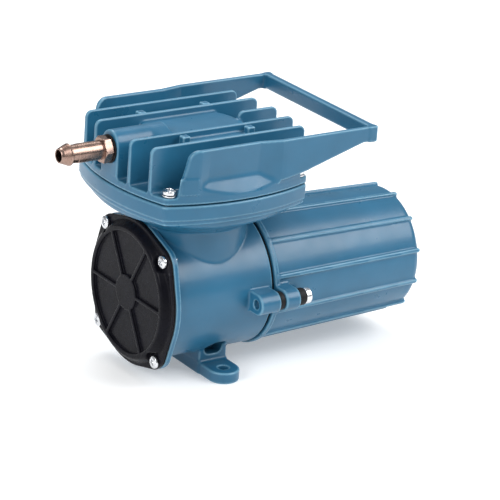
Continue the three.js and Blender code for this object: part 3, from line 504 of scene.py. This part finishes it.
def crossings(values, axis):
    """Grid edges along an axis that the surface crosses: their lower corners, shares and signs."""
    low = np.take(values, range(values.shape[axis] - 1), axis)
    high = np.take(values, range(1, values.shape[axis]), axis)
    crossed = (low < 0) != (high < 0)
    start = low[crossed]
    return np.argwhere(crossed), start / (start - high[crossed]), start < 0


def surface_net(values):
    """The vertices, in grid steps, and the quads of a sampled distance function's surface."""
    quads, points = [], []
    for axis in range(3):
        place, share, outward = crossings(values, axis)
        u, v = (axis + 1) % 3, (axis + 2) % 3
        cells = np.repeat(place[:, None, :], 4, axis=1)
        for corner, (step_u, step_v) in enumerate([(1, 1), (0, 1), (0, 0), (1, 0)]):
            cells[:, corner, u] -= step_u
            cells[:, corner, v] -= step_v
        point = place.astype(float)
        point[:, axis] += share
        cells[~outward] = cells[~outward][:, ::-1]
        quads.append(np.ravel_multi_index(tuple(cells.reshape(-1, 3).T), values.shape).reshape(-1, 4))
        points.append(point)
    quads = np.concatenate(quads)
    points = np.repeat(np.concatenate(points), 4, axis=0)
    _, index = np.unique(quads.ravel(), return_inverse=True)
    count = np.bincount(index)
    vertices = np.stack([np.bincount(index, points[:, i]) / count for i in range(3)], axis=1)
    return vertices, index.reshape(-1, 4)


def relaxed(points, quads, rounds=3):
    """Evens out the quads by drawing each vertex towards the middle of its neighbours."""
    here = np.repeat(quads.ravel(), 2)
    beside = np.stack([np.roll(quads, 1, axis=1), np.roll(quads, -1, axis=1)], axis=-1).ravel()
    count = np.bincount(here)
    for _ in range(rounds):
        middle = np.stack([np.bincount(here, points[beside, i]) / count for i in range(3)], axis=1)
        points = points + 0.5 * (middle - points)
    return points


def settle(distance, points, cell, rounds=4):
    """Moves points onto the surface along the distance function's slope, by less than a cell."""
    step = cell * 0.15
    lowest, highest = points - 0.8 * cell, points + 0.8 * cell
    for _ in range(rounds):
        slope = np.empty_like(points)
        for axis in range(3):
            offset = np.zeros(3)
            offset[axis] = step
            ahead, behind = (points + offset).T, (points - offset).T
            slope[:, axis] = (distance(*ahead) - distance(*behind)) / (2 * step)
        move = distance(*points.T)[:, None] * slope / (np.sum(slope ** 2, axis=1)[:, None] + 1e-6)
        points = np.clip(points - np.clip(move, -0.4 * cell, 0.4 * cell), lowest, highest)
    return points


def mesh_from(name, vertices, faces):
    mesh = bpy.data.meshes.new(name)
    sides = faces.shape[1]
    mesh.vertices.add(len(vertices))
    mesh.vertices.foreach_set("co", (vertices * MM).astype(np.float32).ravel())
    mesh.loops.add(faces.size)
    mesh.loops.foreach_set("vertex_index", faces.astype(np.int32).ravel())
    mesh.polygons.add(len(faces))
    mesh.polygons.foreach_set("loop_start", np.arange(0, faces.size, sides, dtype=np.int32))
    mesh.polygons.foreach_set("loop_total", np.full(len(faces), sides, np.int32))
    mesh.polygons.foreach_set("use_smooth", np.ones(len(faces), bool))
    mesh.update(calc_edges=True)
    mesh.validate()
    return mesh


def surface_mesh(name, distance, low, high, cell):
    """Meshes a distance function between two corners, with quads about a cell wide."""
    cell = cell
    start = np.array(low) - 2.5 * cell
    counts = np.ceil((np.array(high) + 2.5 * cell - start) / cell).astype(int) + 1
    axes = [start[i] + cell * np.arange(counts[i]) for i in range(3)]
    values = np.broadcast_to(distance(*np.meshgrid(*axes, indexing="ij", sparse=True)), counts)
    vertices, quads = surface_net(values)
    vertices = settle(distance, start + relaxed(vertices, quads) * cell, cell)
    return mesh_from(name, np.clip(vertices, low, high), quads)


def tube_profile(inner, outer, start, end, edge):
    """A ring's section as (height, radius) points, its four corners rounded."""
    section = [(start, inner), (start, outer), (end, outer), (end, inner)]
    middle = np.array([(start + end) / 2, (inner + outer) / 2])
    points = []
    for i, corner in enumerate(section):
        corner = np.array(corner)
        before = np.array(section[i - 1]) - corner
        after = np.array(section[(i + 1) % 4]) - corner
        first = corner + before / np.linalg.norm(before) * edge
        last = corner + after / np.linalg.norm(after) * edge
        between = corner + (middle - corner) * edge * 0.3 / np.abs(middle - corner)
        points += [tuple(first), tuple(between), tuple(last)]
    return points


def hexagon(corner_radius, segments):
    """The radius of a hexagon at each of a turned surface's angles."""
    angles = np.arange(segments) * 2 * math.pi / segments
    sector = math.pi / 3
    return corner_radius * math.cos(sector / 2) / np.cos(np.mod(angles, sector) - sector / 2)


def turned(name, profile, segments=96):
    """A closed section of (height, radius) points turned about local Z. A radius may also be an
    array with one value for each angle."""
    angles = np.arange(segments) * 2 * math.pi / segments
    vertices = []
    for height, radius in profile:
        reach = np.broadcast_to(radius, segments)
        level = np.full(segments, height)
        vertices.append(np.stack([reach * np.cos(angles), reach * np.sin(angles), level], axis=1))
    count = len(profile)
    ring, step = np.meshgrid(np.arange(count), np.arange(segments), indexing="ij")
    next_ring, next_step = (ring + 1) % count, (step + 1) % segments
    faces = np.stack([
        ring * segments + step, ring * segments + next_step,
        next_ring * segments + next_step, next_ring * segments + step,
    ], axis=-1).reshape(-1, 4)
    mesh = mesh_from(name, np.concatenate(vertices), faces)
    bm = bmesh.new()
    bm.from_mesh(mesh)
    bmesh.ops.recalc_face_normals(bm, faces=bm.faces)
    bm.to_mesh(mesh)
    bm.free()
    mesh.set_sharp_from_angle(angle=math.radians(40))
    return mesh


def placed(mesh, name, x, y, z, axis="Z", spin=0.0):
    """An object that stands a mesh made along local Z at a place, along an axis of the frame."""
    turns = {
        "Z": Matrix.Identity(4),
        "X": Matrix.Rotation(math.radians(90), 4, "Y"),
        "-X": Matrix.Rotation(math.radians(-90), 4, "Y"),
        "Y": Matrix.Rotation(math.radians(-90), 4, "X"),
    }
    piece = bpy.data.objects.new(name, mesh)
    bpy.context.scene.collection.objects.link(piece)
    place = Matrix.Translation(Vector((x, y, z)) * MM)
    piece.matrix_world = place @ turns[axis] @ Matrix.Rotation(spin, 4, "Z")
    return piece


def finished(piece, slot, material, *nodes, body="pump_body"):
    """Gives a piece its material and its body, and hides the CAD nodes that it stands for."""
    if not piece.data.materials:
        piece.data.materials.append(material)
    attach(piece, body)
    if nodes:
        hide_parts(*nodes)
    return piece


def weighted(piece):
    """Keeps flat faces flat in the shading beside small rounded edges."""
    modifier = piece.modifiers.new("flat faces", "WEIGHTED_NORMAL")
    modifier.keep_sharp = True
    return piece


def casting(name, distance, cell, slot, material, node):
    """A cast piece, meshed inside its CAD node's box."""
    mesh = surface_mesh(name, distance, *corners(node), cell)
    return finished(placed(mesh, name, 0, 0, 0), slot, material, node)


# ---- Fasteners, fitting and seals ----------------------------------------------------------------


def pan_head(head_radius, head_height, shank_radius, length):
    """A pan-head screw with a cross recess, its head's underside at height 0."""
    def distance(x, y, z):
        across = np.hypot(x, y)
        dome_radius = 2.1 * head_radius
        head = round_bar(across, z, head_radius, 0, head_height, 0.35)
        head = overlap(head, np.hypot(across, z - head_height + dome_radius) - dome_radius, 0.3)
        depth = head_height - z
        arm_half = 0.62 - 0.12 * np.clip(depth, 0, 2)
        reach = 0.56 * head_radius - 0.35 * np.clip(depth, 0, 2)
        one = overlap(np.abs(x) - arm_half, np.abs(y) - reach, 0.12)
        other = overlap(np.abs(y) - arm_half, np.abs(x) - reach, 0.12)
        recess = overlap(joined(one, other, 0.25), depth - 0.62 * head_height)
        shank = round_bar(across, z, shank_radius, -length, 0.5, 0.3)
        return joined(cut(head, recess, 0.14), shank, 0.2)
    return distance


def screw_mesh(name, head_radius, head_height, shank_radius, length, cell):
    low = (-head_radius, -head_radius, -length)
    high = (head_radius, head_radius, head_height)
    return surface_mesh(name, pan_head(head_radius, head_height, shank_radius, length), low, high, cell)


def cover_screws(zinc):
    mesh = screw_mesh("cover_screw", 4.0, 2.5, 2.0, 8.5, 0.2)
    for i, (angle, spin) in enumerate(zip(COVER_SCREW_ANGLES, (0.3, 1.0, 0.62, 0.1))):
        y = FLANGE_RADIUS * math.cos(angle)
        z = SHAFT_Z + FLANGE_RADIUS * math.sin(angle)
        x = COVER_FLANGE_FRONT - GAP
        piece = placed(mesh, f"cover_screw_{i + 1}_pan_head", x, y, z, "-X", spin)
        finished(piece, "zinc_plated_steel", zinc, f"cover_screw_{i + 1}")


def head_screws(zinc):
    mesh = screw_mesh("head_screw", 4.1, 3.0, 2.5, 13, 0.2)
    washer = turned("head_washer", tube_profile(2.8, 4.5, 0, WASHER_THICKNESS, 0.15), 64)
    seat = PLATE_TOP + 2 * GAP + WASHER_THICKNESS
    places = [(along_x, along_y) for along_x in SIDES for along_y in SIDES]
    for number, (along_x, along_y) in enumerate(places, 1):
        x, y = CYLINDER_X + along_x * HEAD_SCREW, along_y * HEAD_SCREW
        disc = placed(washer, f"head_washer_{number}_plain", x, y, PLATE_TOP + GAP)
        finished(weighted(disc), "zinc_plated_steel", zinc, f"head_washer_{number}")
        piece = placed(mesh, f"head_screw_{number}_pan_head", x, y, seat, "Z", 0.7 * number)
        finished(piece, "zinc_plated_steel", zinc, f"head_screw_{number}")


def clamp_fasteners(zinc, rubber):
    """A screw through each pair of lugs, with a rubber bush under its head and a black ring in the gap between the
    lugs.
    """
    mesh = screw_mesh("clamp_screw", 4.9, 4.9, 2.5, 30, 0.25)
    bush = turned("clamp_bush", tube_profile(LUG_HOLE_RADIUS, 5.3, 0, BUSH_LENGTH, 0.6), 64)
    spacer_length = MOTOR_START - LUG_END - 2 * GAP
    spacer = turned("clamp_spacer", tube_profile(LUG_HOLE_RADIUS, 5.6, 0, spacer_length, 0.7), 64)
    seat = MOTOR_LUG_END + 2 * GAP + BUSH_LENGTH
    for side, name in zip(SIDES, ("near", "far")):
        y = side * LUG_Y
        piece = placed(bush, f"clamp_bush_{name}", MOTOR_LUG_END + GAP, y, SHAFT_Z, "X")
        finished(weighted(piece), "black_rubber", rubber, f"clamp_washer_{name}")
        # A black ring fills the gap between the barrel's lug and the motor's lug
        piece = placed(spacer, f"clamp_spacer_{name}", LUG_END + GAP, y, SHAFT_Z, "X")
        finished(weighted(piece), "black_rubber", rubber)
        piece = placed(mesh, f"clamp_screw_{name}_pan_head", seat, y, SHAFT_Z, "X", 0.4)
        finished(piece, "zinc_plated_steel", zinc, f"clamp_screw_{name}")


def hose_barb(brass, rubber):
    """The brass barb: a grooved nose, a ridge, a stem and a chamfered hexagon, turned along -X."""
    segments = 96
    tip, inner_end = -BARB_LOW[0], -BARB_HIGH[0]
    bore = 3.4
    stem_radius, thread_radius = 5.72, 6.0
    grooves = []
    for k in range(8):
        at, radius = tip - 1.2 - 0.56 * k, 4.75 + 0.22 * k
        grooves += [(at, radius), (at - 0.3, radius + 0.15), (at - 0.42, radius - 0.03)]
    stem_start = tip - 5.9
    stem = [
        (stem_start, 6.5), (stem_start - 0.15, 6.6), (stem_start - 0.5, 6.6), (stem_start - 0.65, 6.5),
        (stem_start - 1.2, 5.6), (stem_start - 1.4, 5.5), (stem_start - 5.2, 5.5),
        (stem_start - 5.4, stem_radius),
    ]
    hex_start, hex_end = 72.4, 67.2
    flats = hexagon(8.3, segments)
    chamfer = [(step, np.minimum(flats, 7.25 + step * 1.6)) for step in (0, 0.15, 0.3, 0.45, 0.66)]
    front = [(hex_start - step, radius) for step, radius in chamfer]
    back = [(hex_end + step, radius) for step, radius in reversed(chamfer)]
    profile = [
        (tip - 0.3, bore), (tip, bore + 0.25), (tip, 4.15), (tip - 0.25, 4.4), *grooves, *stem,
        (hex_start + 0.15, stem_radius), (hex_start, 5.9), *front, *back,
        (hex_end, thread_radius), (inner_end, thread_radius), (inner_end, bore),
    ]
    piece = placed(turned("hose_barb", profile, segments), "hose_barb", 0, 0, OUTLET_Z, "-X", math.pi / 6)
    finished(weighted(piece), "brass_fitting", brass, "outlet_barb")
    low, high = corners("barb_seal")
    ring = turned("outlet_seal_ring", tube_profile(6.3, high[1], -high[0], -low[0], 0.2))
    seal = placed(ring, "outlet_seal_ring", 0, 0, OUTLET_Z, "-X")
    finished(weighted(seal), "black_rubber", rubber, "barb_seal")


def seals(rubber):
    """The cover's gasket, cut to the flange's outline, and the ring between barrel and motor."""
    segments = 360
    angles = np.arange(segments) * 2 * math.pi / segments
    inner = np.full(segments, FLANGE_RADIUS - 1)
    outer = np.full(segments, FLANGE_RADIUS + EAR_RADIUS + 1)
    for _ in range(30):
        outline = (inner + outer) / 2
        inside = flange_outline(outline * np.cos(angles), SHAFT_Z + outline * np.sin(angles)) < 0
        inner, outer = np.where(inside, outline, inner), np.where(inside, outer, outline)
    front, back = (corner[0] for corner in corners("front_cover_gasket"))
    edge = outline - 0.15
    profile = [(front, CRANK_ROOM_RADIUS), (front, edge), (back, edge), (back, CRANK_ROOM_RADIUS)]
    sheet = turned("cover_gasket_sheet", profile, segments)
    gasket = placed(sheet, "cover_gasket_sheet", 0, 0, SHAFT_Z, "X", math.pi / 2)
    finished(gasket, "black_rubber", rubber, "front_cover_gasket")
    low, high = corners("motor_seal")
    ring = turned("motor_seal_ring", tube_profile(high[1] - 3.2, high[1], low[0], high[0], 0.2), 180)
    seal = placed(ring, "motor_seal_ring", 0, 0, SHAFT_Z, "X")
    finished(weighted(seal), "black_rubber", rubber, "motor_seal")


def gland(rubber):
    """The motor's cable entry on its far side: a flange, a hexagon nut and a ribbed sleeve."""
    segments = 96
    inside, outside = GLAND_LOW[1], GLAND_HIGH[1]
    wall = outside - 11.5
    nut = hexagon(7.6, segments)
    chamfer = [(step, np.minimum(nut, 6.75 + step * 1.4)) for step in (0, 0.2, 0.4, 0.6)]
    sleeve = []
    for k in range(3):
        at = wall + 8.4 + 0.95 * k
        sleeve += [(at, 5.4), (at + 0.5, 5.4), (at + 0.6, 5.0), (at + 0.85, 5.0)]
    profile = [
        (inside, 2.6), (inside, 5.0), (wall + 1.0, 5.0), (wall + 1.0, 7.7), (wall + 1.15, 7.85),
        (wall + 3.0, 7.85), (wall + 3.15, 7.7),
        *[(wall + 3.2 + step, radius) for step, radius in chamfer],
        *[(wall + 8.1 - step, radius) for step, radius in reversed(chamfer)],
        (wall + 8.1, 5.4), *sleeve, (outside, 4.9), (outside, 2.9), (outside - 0.3, 2.6),
    ]
    mesh = turned("cable_entry", profile, segments)
    piece = placed(mesh, "cable_entry", GLAND_X, 0, SHAFT_Z, "Y")
    finished(weighted(piece), "black_rubber", rubber, "cord_gland")


# ---- Materials -----------------------------------------------------------------------------------


def surface(name, color, roughness, metallic=0.0, variation=0.08, patch=0.02, spread=0.06,
            bumps=(), edge=None, coat=0.0, gloss=0.5, bands=None):
    """A material whose colour, roughness and relief vary with noise. Lengths are in metres: patch is
    the size of its colour patches, bumps are pairs of a bump's size and depth, and bands are an axis,
    a spacing and a depth. Edge is the paler colour of the sharp corners: partly thin paint there, and
    partly a painted highlight where the rounded edges catch the light."""
    material = bpy.data.materials.new(name)
    material.use_nodes = True
    nodes, links = material.node_tree.nodes, material.node_tree.links
    shader = nodes["Principled BSDF"]
    shader.inputs["Metallic"].default_value = metallic
    shader.inputs["Specular IOR Level"].default_value = gloss
    shader.inputs["Coat Weight"].default_value = coat
    shader.inputs["Coat Roughness"].default_value = 0.12
    place = nodes.new("ShaderNodeTexCoord").outputs["Object"]

    def noise(size, detail=3.0):
        texture = nodes.new("ShaderNodeTexNoise")
        texture.inputs["Scale"].default_value = 1 / size
        texture.inputs["Detail"].default_value = detail
        links.new(place, texture.inputs["Vector"])
        return texture.outputs["Fac"]

    def mixed(factor, first, second):
        mix = nodes.new("ShaderNodeMix")
        mix.data_type = "RGBA"
        links.new(factor, mix.inputs["Factor"])
        for socket, value in ((mix.inputs["A"], first), (mix.inputs["B"], second)):
            if isinstance(value, tuple):
                socket.default_value = (*value, 1)
            else:
                links.new(value, socket)
        return mix.outputs["Result"]

    def ranged(value, low, high, to_low, to_high):
        node = nodes.new("ShaderNodeMapRange")
        for socket, number in zip(node.inputs[1:5], (low, high, to_low, to_high)):
            socket.default_value = number
        links.new(value, node.inputs["Value"])
        return node.outputs["Result"]

    darker = tuple(c * (1 - variation) for c in color)
    lighter = tuple(min(c * (1 + variation), 1) for c in color)
    tint = mixed(ranged(noise(patch), 0.35, 0.65, 0, 1), darker, lighter)
    # Sharp corners turn paler: partly thin paint on the edges, partly a painted highlight that stands in for light
    # caught by the rounded edges
    if edge:
        thin_paint_and_highlight = nodes.new("ShaderNodeNewGeometry").outputs["Pointiness"]
        tint = mixed(ranged(thin_paint_and_highlight, 0.51, 0.58, 0, 0.8), tint, edge)
    links.new(tint, shader.inputs["Base Color"])
    rough = ranged(noise(patch * 0.35), 0.3, 0.7, roughness - spread, roughness + spread)
    links.new(rough, shader.inputs["Roughness"])

    normal = None
    reliefs = [(noise(size), depth) for size, depth in bumps]
    if bands:
        axis, size, depth = bands
        wave = nodes.new("ShaderNodeTexWave")
        wave.bands_direction = axis
        wave.inputs["Scale"].default_value = 0.314 / size
        wave.inputs["Distortion"].default_value = 0.6
        links.new(place, wave.inputs["Vector"])
        reliefs.append((wave.outputs["Fac"], depth))
    for height, depth in reliefs:
        bump = nodes.new("ShaderNodeBump")
        bump.inputs["Strength"].default_value = 1.0
        bump.inputs["Distance"].default_value = depth
        links.new(height, bump.inputs["Height"])
        if normal is not None:
            links.new(normal, bump.inputs["Normal"])
        normal = bump.outputs["Normal"]
    if normal is not None:
        links.new(normal, shader.inputs["Normal"])
    return material


def materials():
    """One material for each of the record's slots."""
    cast_skin = ((0.0035, 0.00002), (0.0009, 0.000008))
    return {
        # Each enamel's edge colour is a paler tone on its sharp corners: partly thin paint, partly a painted
        # highlight
        "blue_enamel": surface("blue_enamel", (0.019, 0.118, 0.215), 0.33, variation=0.07, patch=0.03,
                               bumps=cast_skin, edge=(0.24, 0.48, 0.62), coat=0.08, gloss=0.42),
        "black_enamel": surface("black_enamel", (0.005, 0.005, 0.008), 0.28, variation=0.2, patch=0.012,
                                bumps=((0.0016, 0.000012), (0.0005, 0.000005)),
                                edge=(0.03, 0.03, 0.035), gloss=0.07),
        "zinc_plated_steel": surface("zinc_plated_steel", (0.72, 0.73, 0.75), 0.24, 1.0, patch=0.004,
                                     bumps=((0.0006, 0.00001),)),
        "brass_fitting": surface("brass_fitting", (0.33, 0.225, 0.185), 0.27, 1.0, patch=0.006,
                                 bumps=((0.0012, 0.000003),), bands=("Z", 0.0004, 0.000003)),
        "black_rubber": surface("black_rubber", (0.006, 0.006, 0.007), 0.6, variation=0.25, patch=0.003,
                                bumps=((0.0006, 0.00003),), gloss=0.25),
        "cast_aluminium": surface("cast_aluminium", (0.55, 0.56, 0.57), 0.42, 1.0, patch=0.008,
                                  bumps=((0.0008, 0.00004), (0.0003, 0.00001))),
        "bearing_steel": surface("bearing_steel", (0.5, 0.5, 0.51), 0.22, 1.0, patch=0.01,
                                 bands=("X", 0.0005, 0.000006)),
        "spring_steel": surface("spring_steel", (0.35, 0.37, 0.4), 0.28, 1.0, patch=0.005,
                                bumps=((0.0004, 0.000008),)),
        "lamination_iron": surface("lamination_iron", (0.12, 0.12, 0.13), 0.5, 0.8, patch=0.01,
                                   bands=("X", 0.0005, 0.00008)),
        "copper": surface("copper", (0.62, 0.22, 0.09), 0.32, 0.9, variation=0.15, patch=0.006,
                          bands=("Y", 0.0006, 0.00015)),
        "ferrite": surface("ferrite", (0.035, 0.035, 0.04), 0.65, 0.1, variation=0.2, patch=0.004,
                           bumps=((0.0005, 0.00004),)),
        "ptfe": surface("ptfe", (0.75, 0.73, 0.68), 0.45, patch=0.01, bumps=((0.0007, 0.00002),)),
        "fibre_board": surface("fibre_board", (0.16, 0.075, 0.03), 0.6, variation=0.2, patch=0.003,
                               bumps=((0.0006, 0.00004),)),
        "carbon": surface("carbon", (0.02, 0.02, 0.022), 0.6, 0.2, variation=0.2, patch=0.002,
                          bumps=((0.0003, 0.00002),)),
    }


def dress_frame(palette):
    """Gives every CAD node that stays the material of its slot in the record."""
    slots = {row["node"]: row["material_slot"] for row in frame["record"]["subparts"]}
    for name, piece in frame["nodes"].items():
        piece.data.materials.clear()
        piece.data.materials.append(palette[slots[name]])
        for face in piece.data.polygons:
            face.material_index = 0


# ---- Studio --------------------------------------------------------------------------------------

CAMERA_TARGET = Vector((0.03855, 0.0, 0.06378))
CAMERA_DISTANCE = 1.6421
CAMERA_AZIMUTH = math.radians(-35.33)
CAMERA_ELEVATION = math.radians(20.97)
CAMERA_ROLL = math.radians(4.01)
CAMERA_LENS = 193.94


def camera():
    data = bpy.data.cameras.new("camera")
    data.sensor_width = 36
    data.lens = CAMERA_LENS
    piece = bpy.data.objects.new("camera", data)
    bpy.context.scene.collection.objects.link(piece)
    flat = math.cos(CAMERA_ELEVATION)
    across, along = math.cos(CAMERA_AZIMUTH), math.sin(CAMERA_AZIMUTH)
    back = Vector((along * flat, -across * flat, math.sin(CAMERA_ELEVATION)))
    level = Vector((across, along, 0))
    upward = back.cross(level)
    right = math.cos(CAMERA_ROLL) * level + math.sin(CAMERA_ROLL) * upward
    turn = Matrix((right, back.cross(right), back)).transposed().to_4x4()
    piece.matrix_world = Matrix.Translation(CAMERA_TARGET + back * CAMERA_DISTANCE) @ turn
    bpy.context.scene.camera = piece


def softbox(name, place, target, size, power, color=(1, 1, 1)):
    data = bpy.data.lights.new(name, "AREA")
    data.shape = "RECTANGLE"
    data.size, data.size_y = size
    data.energy = power
    data.color = color
    piece = bpy.data.objects.new(name, data)
    bpy.context.scene.collection.objects.link(piece)
    piece.location = place
    piece.rotation_mode = "QUATERNION"
    piece.rotation_quaternion = (Vector(target) - Vector(place)).to_track_quat("-Z", "Y")


def sky():
    """A studio sky: bright overhead, dimmer towards the horizon."""
    world = bpy.data.worlds.new("studio")
    world.use_nodes = True
    nodes, links = world.node_tree.nodes, world.node_tree.links
    direction = nodes.new("ShaderNodeSeparateXYZ")
    links.new(nodes.new("ShaderNodeTexCoord").outputs["Generated"], direction.inputs[0])
    height = nodes.new("ShaderNodeMapRange")
    for socket, number in zip(height.inputs[1:5], (0.0, 0.9, 0.24, 0.52)):
        socket.default_value = number
    links.new(direction.outputs["Z"], height.inputs["Value"])
    background = nodes["Background"]
    background.inputs["Color"].default_value = (0.94, 0.97, 1.0, 1)
    links.new(height.outputs["Result"], background.inputs["Strength"])
    bpy.context.scene.world = world


def studio():
    bpy.context.scene.view_settings.view_transform = "Standard"
    sky()
    middle = (0.02, 0, 0.08)
    softbox("key", (0.85, -0.72, 1.02), middle, (1.0, 1.0), 19)
    softbox("back", (0.1, 0.7, 1.25), middle, (0.9, 0.6), 11)
    softbox("left", (-1.25, -0.35, 0.75), middle, (0.6, 0.8), 11)
    bpy.ops.mesh.primitive_plane_add(size=12, location=(0, 0, 0))
    floor = bpy.context.object
    floor.name = "floor"
    paper = surface("pale_floor", (0.78, 0.78, 0.78), 0.6, variation=0.01, patch=0.5, spread=0.02)
    sockets = paper.node_tree.nodes["Principled BSDF"].inputs
    sockets["Emission Color"].default_value = (1, 1, 1, 1)
    sockets["Emission Strength"].default_value = 0.3
    floor.data.materials.append(paper)


# ---- The model -----------------------------------------------------------------------------------


def model():
    palette = materials()
    blue, black = palette["blue_enamel"], palette["black_enamel"]
    zinc, rubber = palette["zinc_plated_steel"], palette["black_rubber"]
    dress_frame(palette)
    casting("crankcase_casting", crankcase, 0.7, "blue_enamel", blue, "crankcase")
    casting("cylinder_head_casting", cylinder_head, 0.6, "blue_enamel", blue, "cylinder_head")
    casting("motor_housing_casting", motor_housing, 0.7, "blue_enamel", blue, "motor_housing")
    casting("front_cover_casting", front_cover, 0.5, "black_enamel", black, "front_cover")
    cover_screws(zinc)
    head_screws(zinc)
    clamp_fasteners(zinc, rubber)
    hose_barb(palette["brass_fitting"], rubber)
    seals(rubber)
    gland(rubber)


camera()
studio()
model()
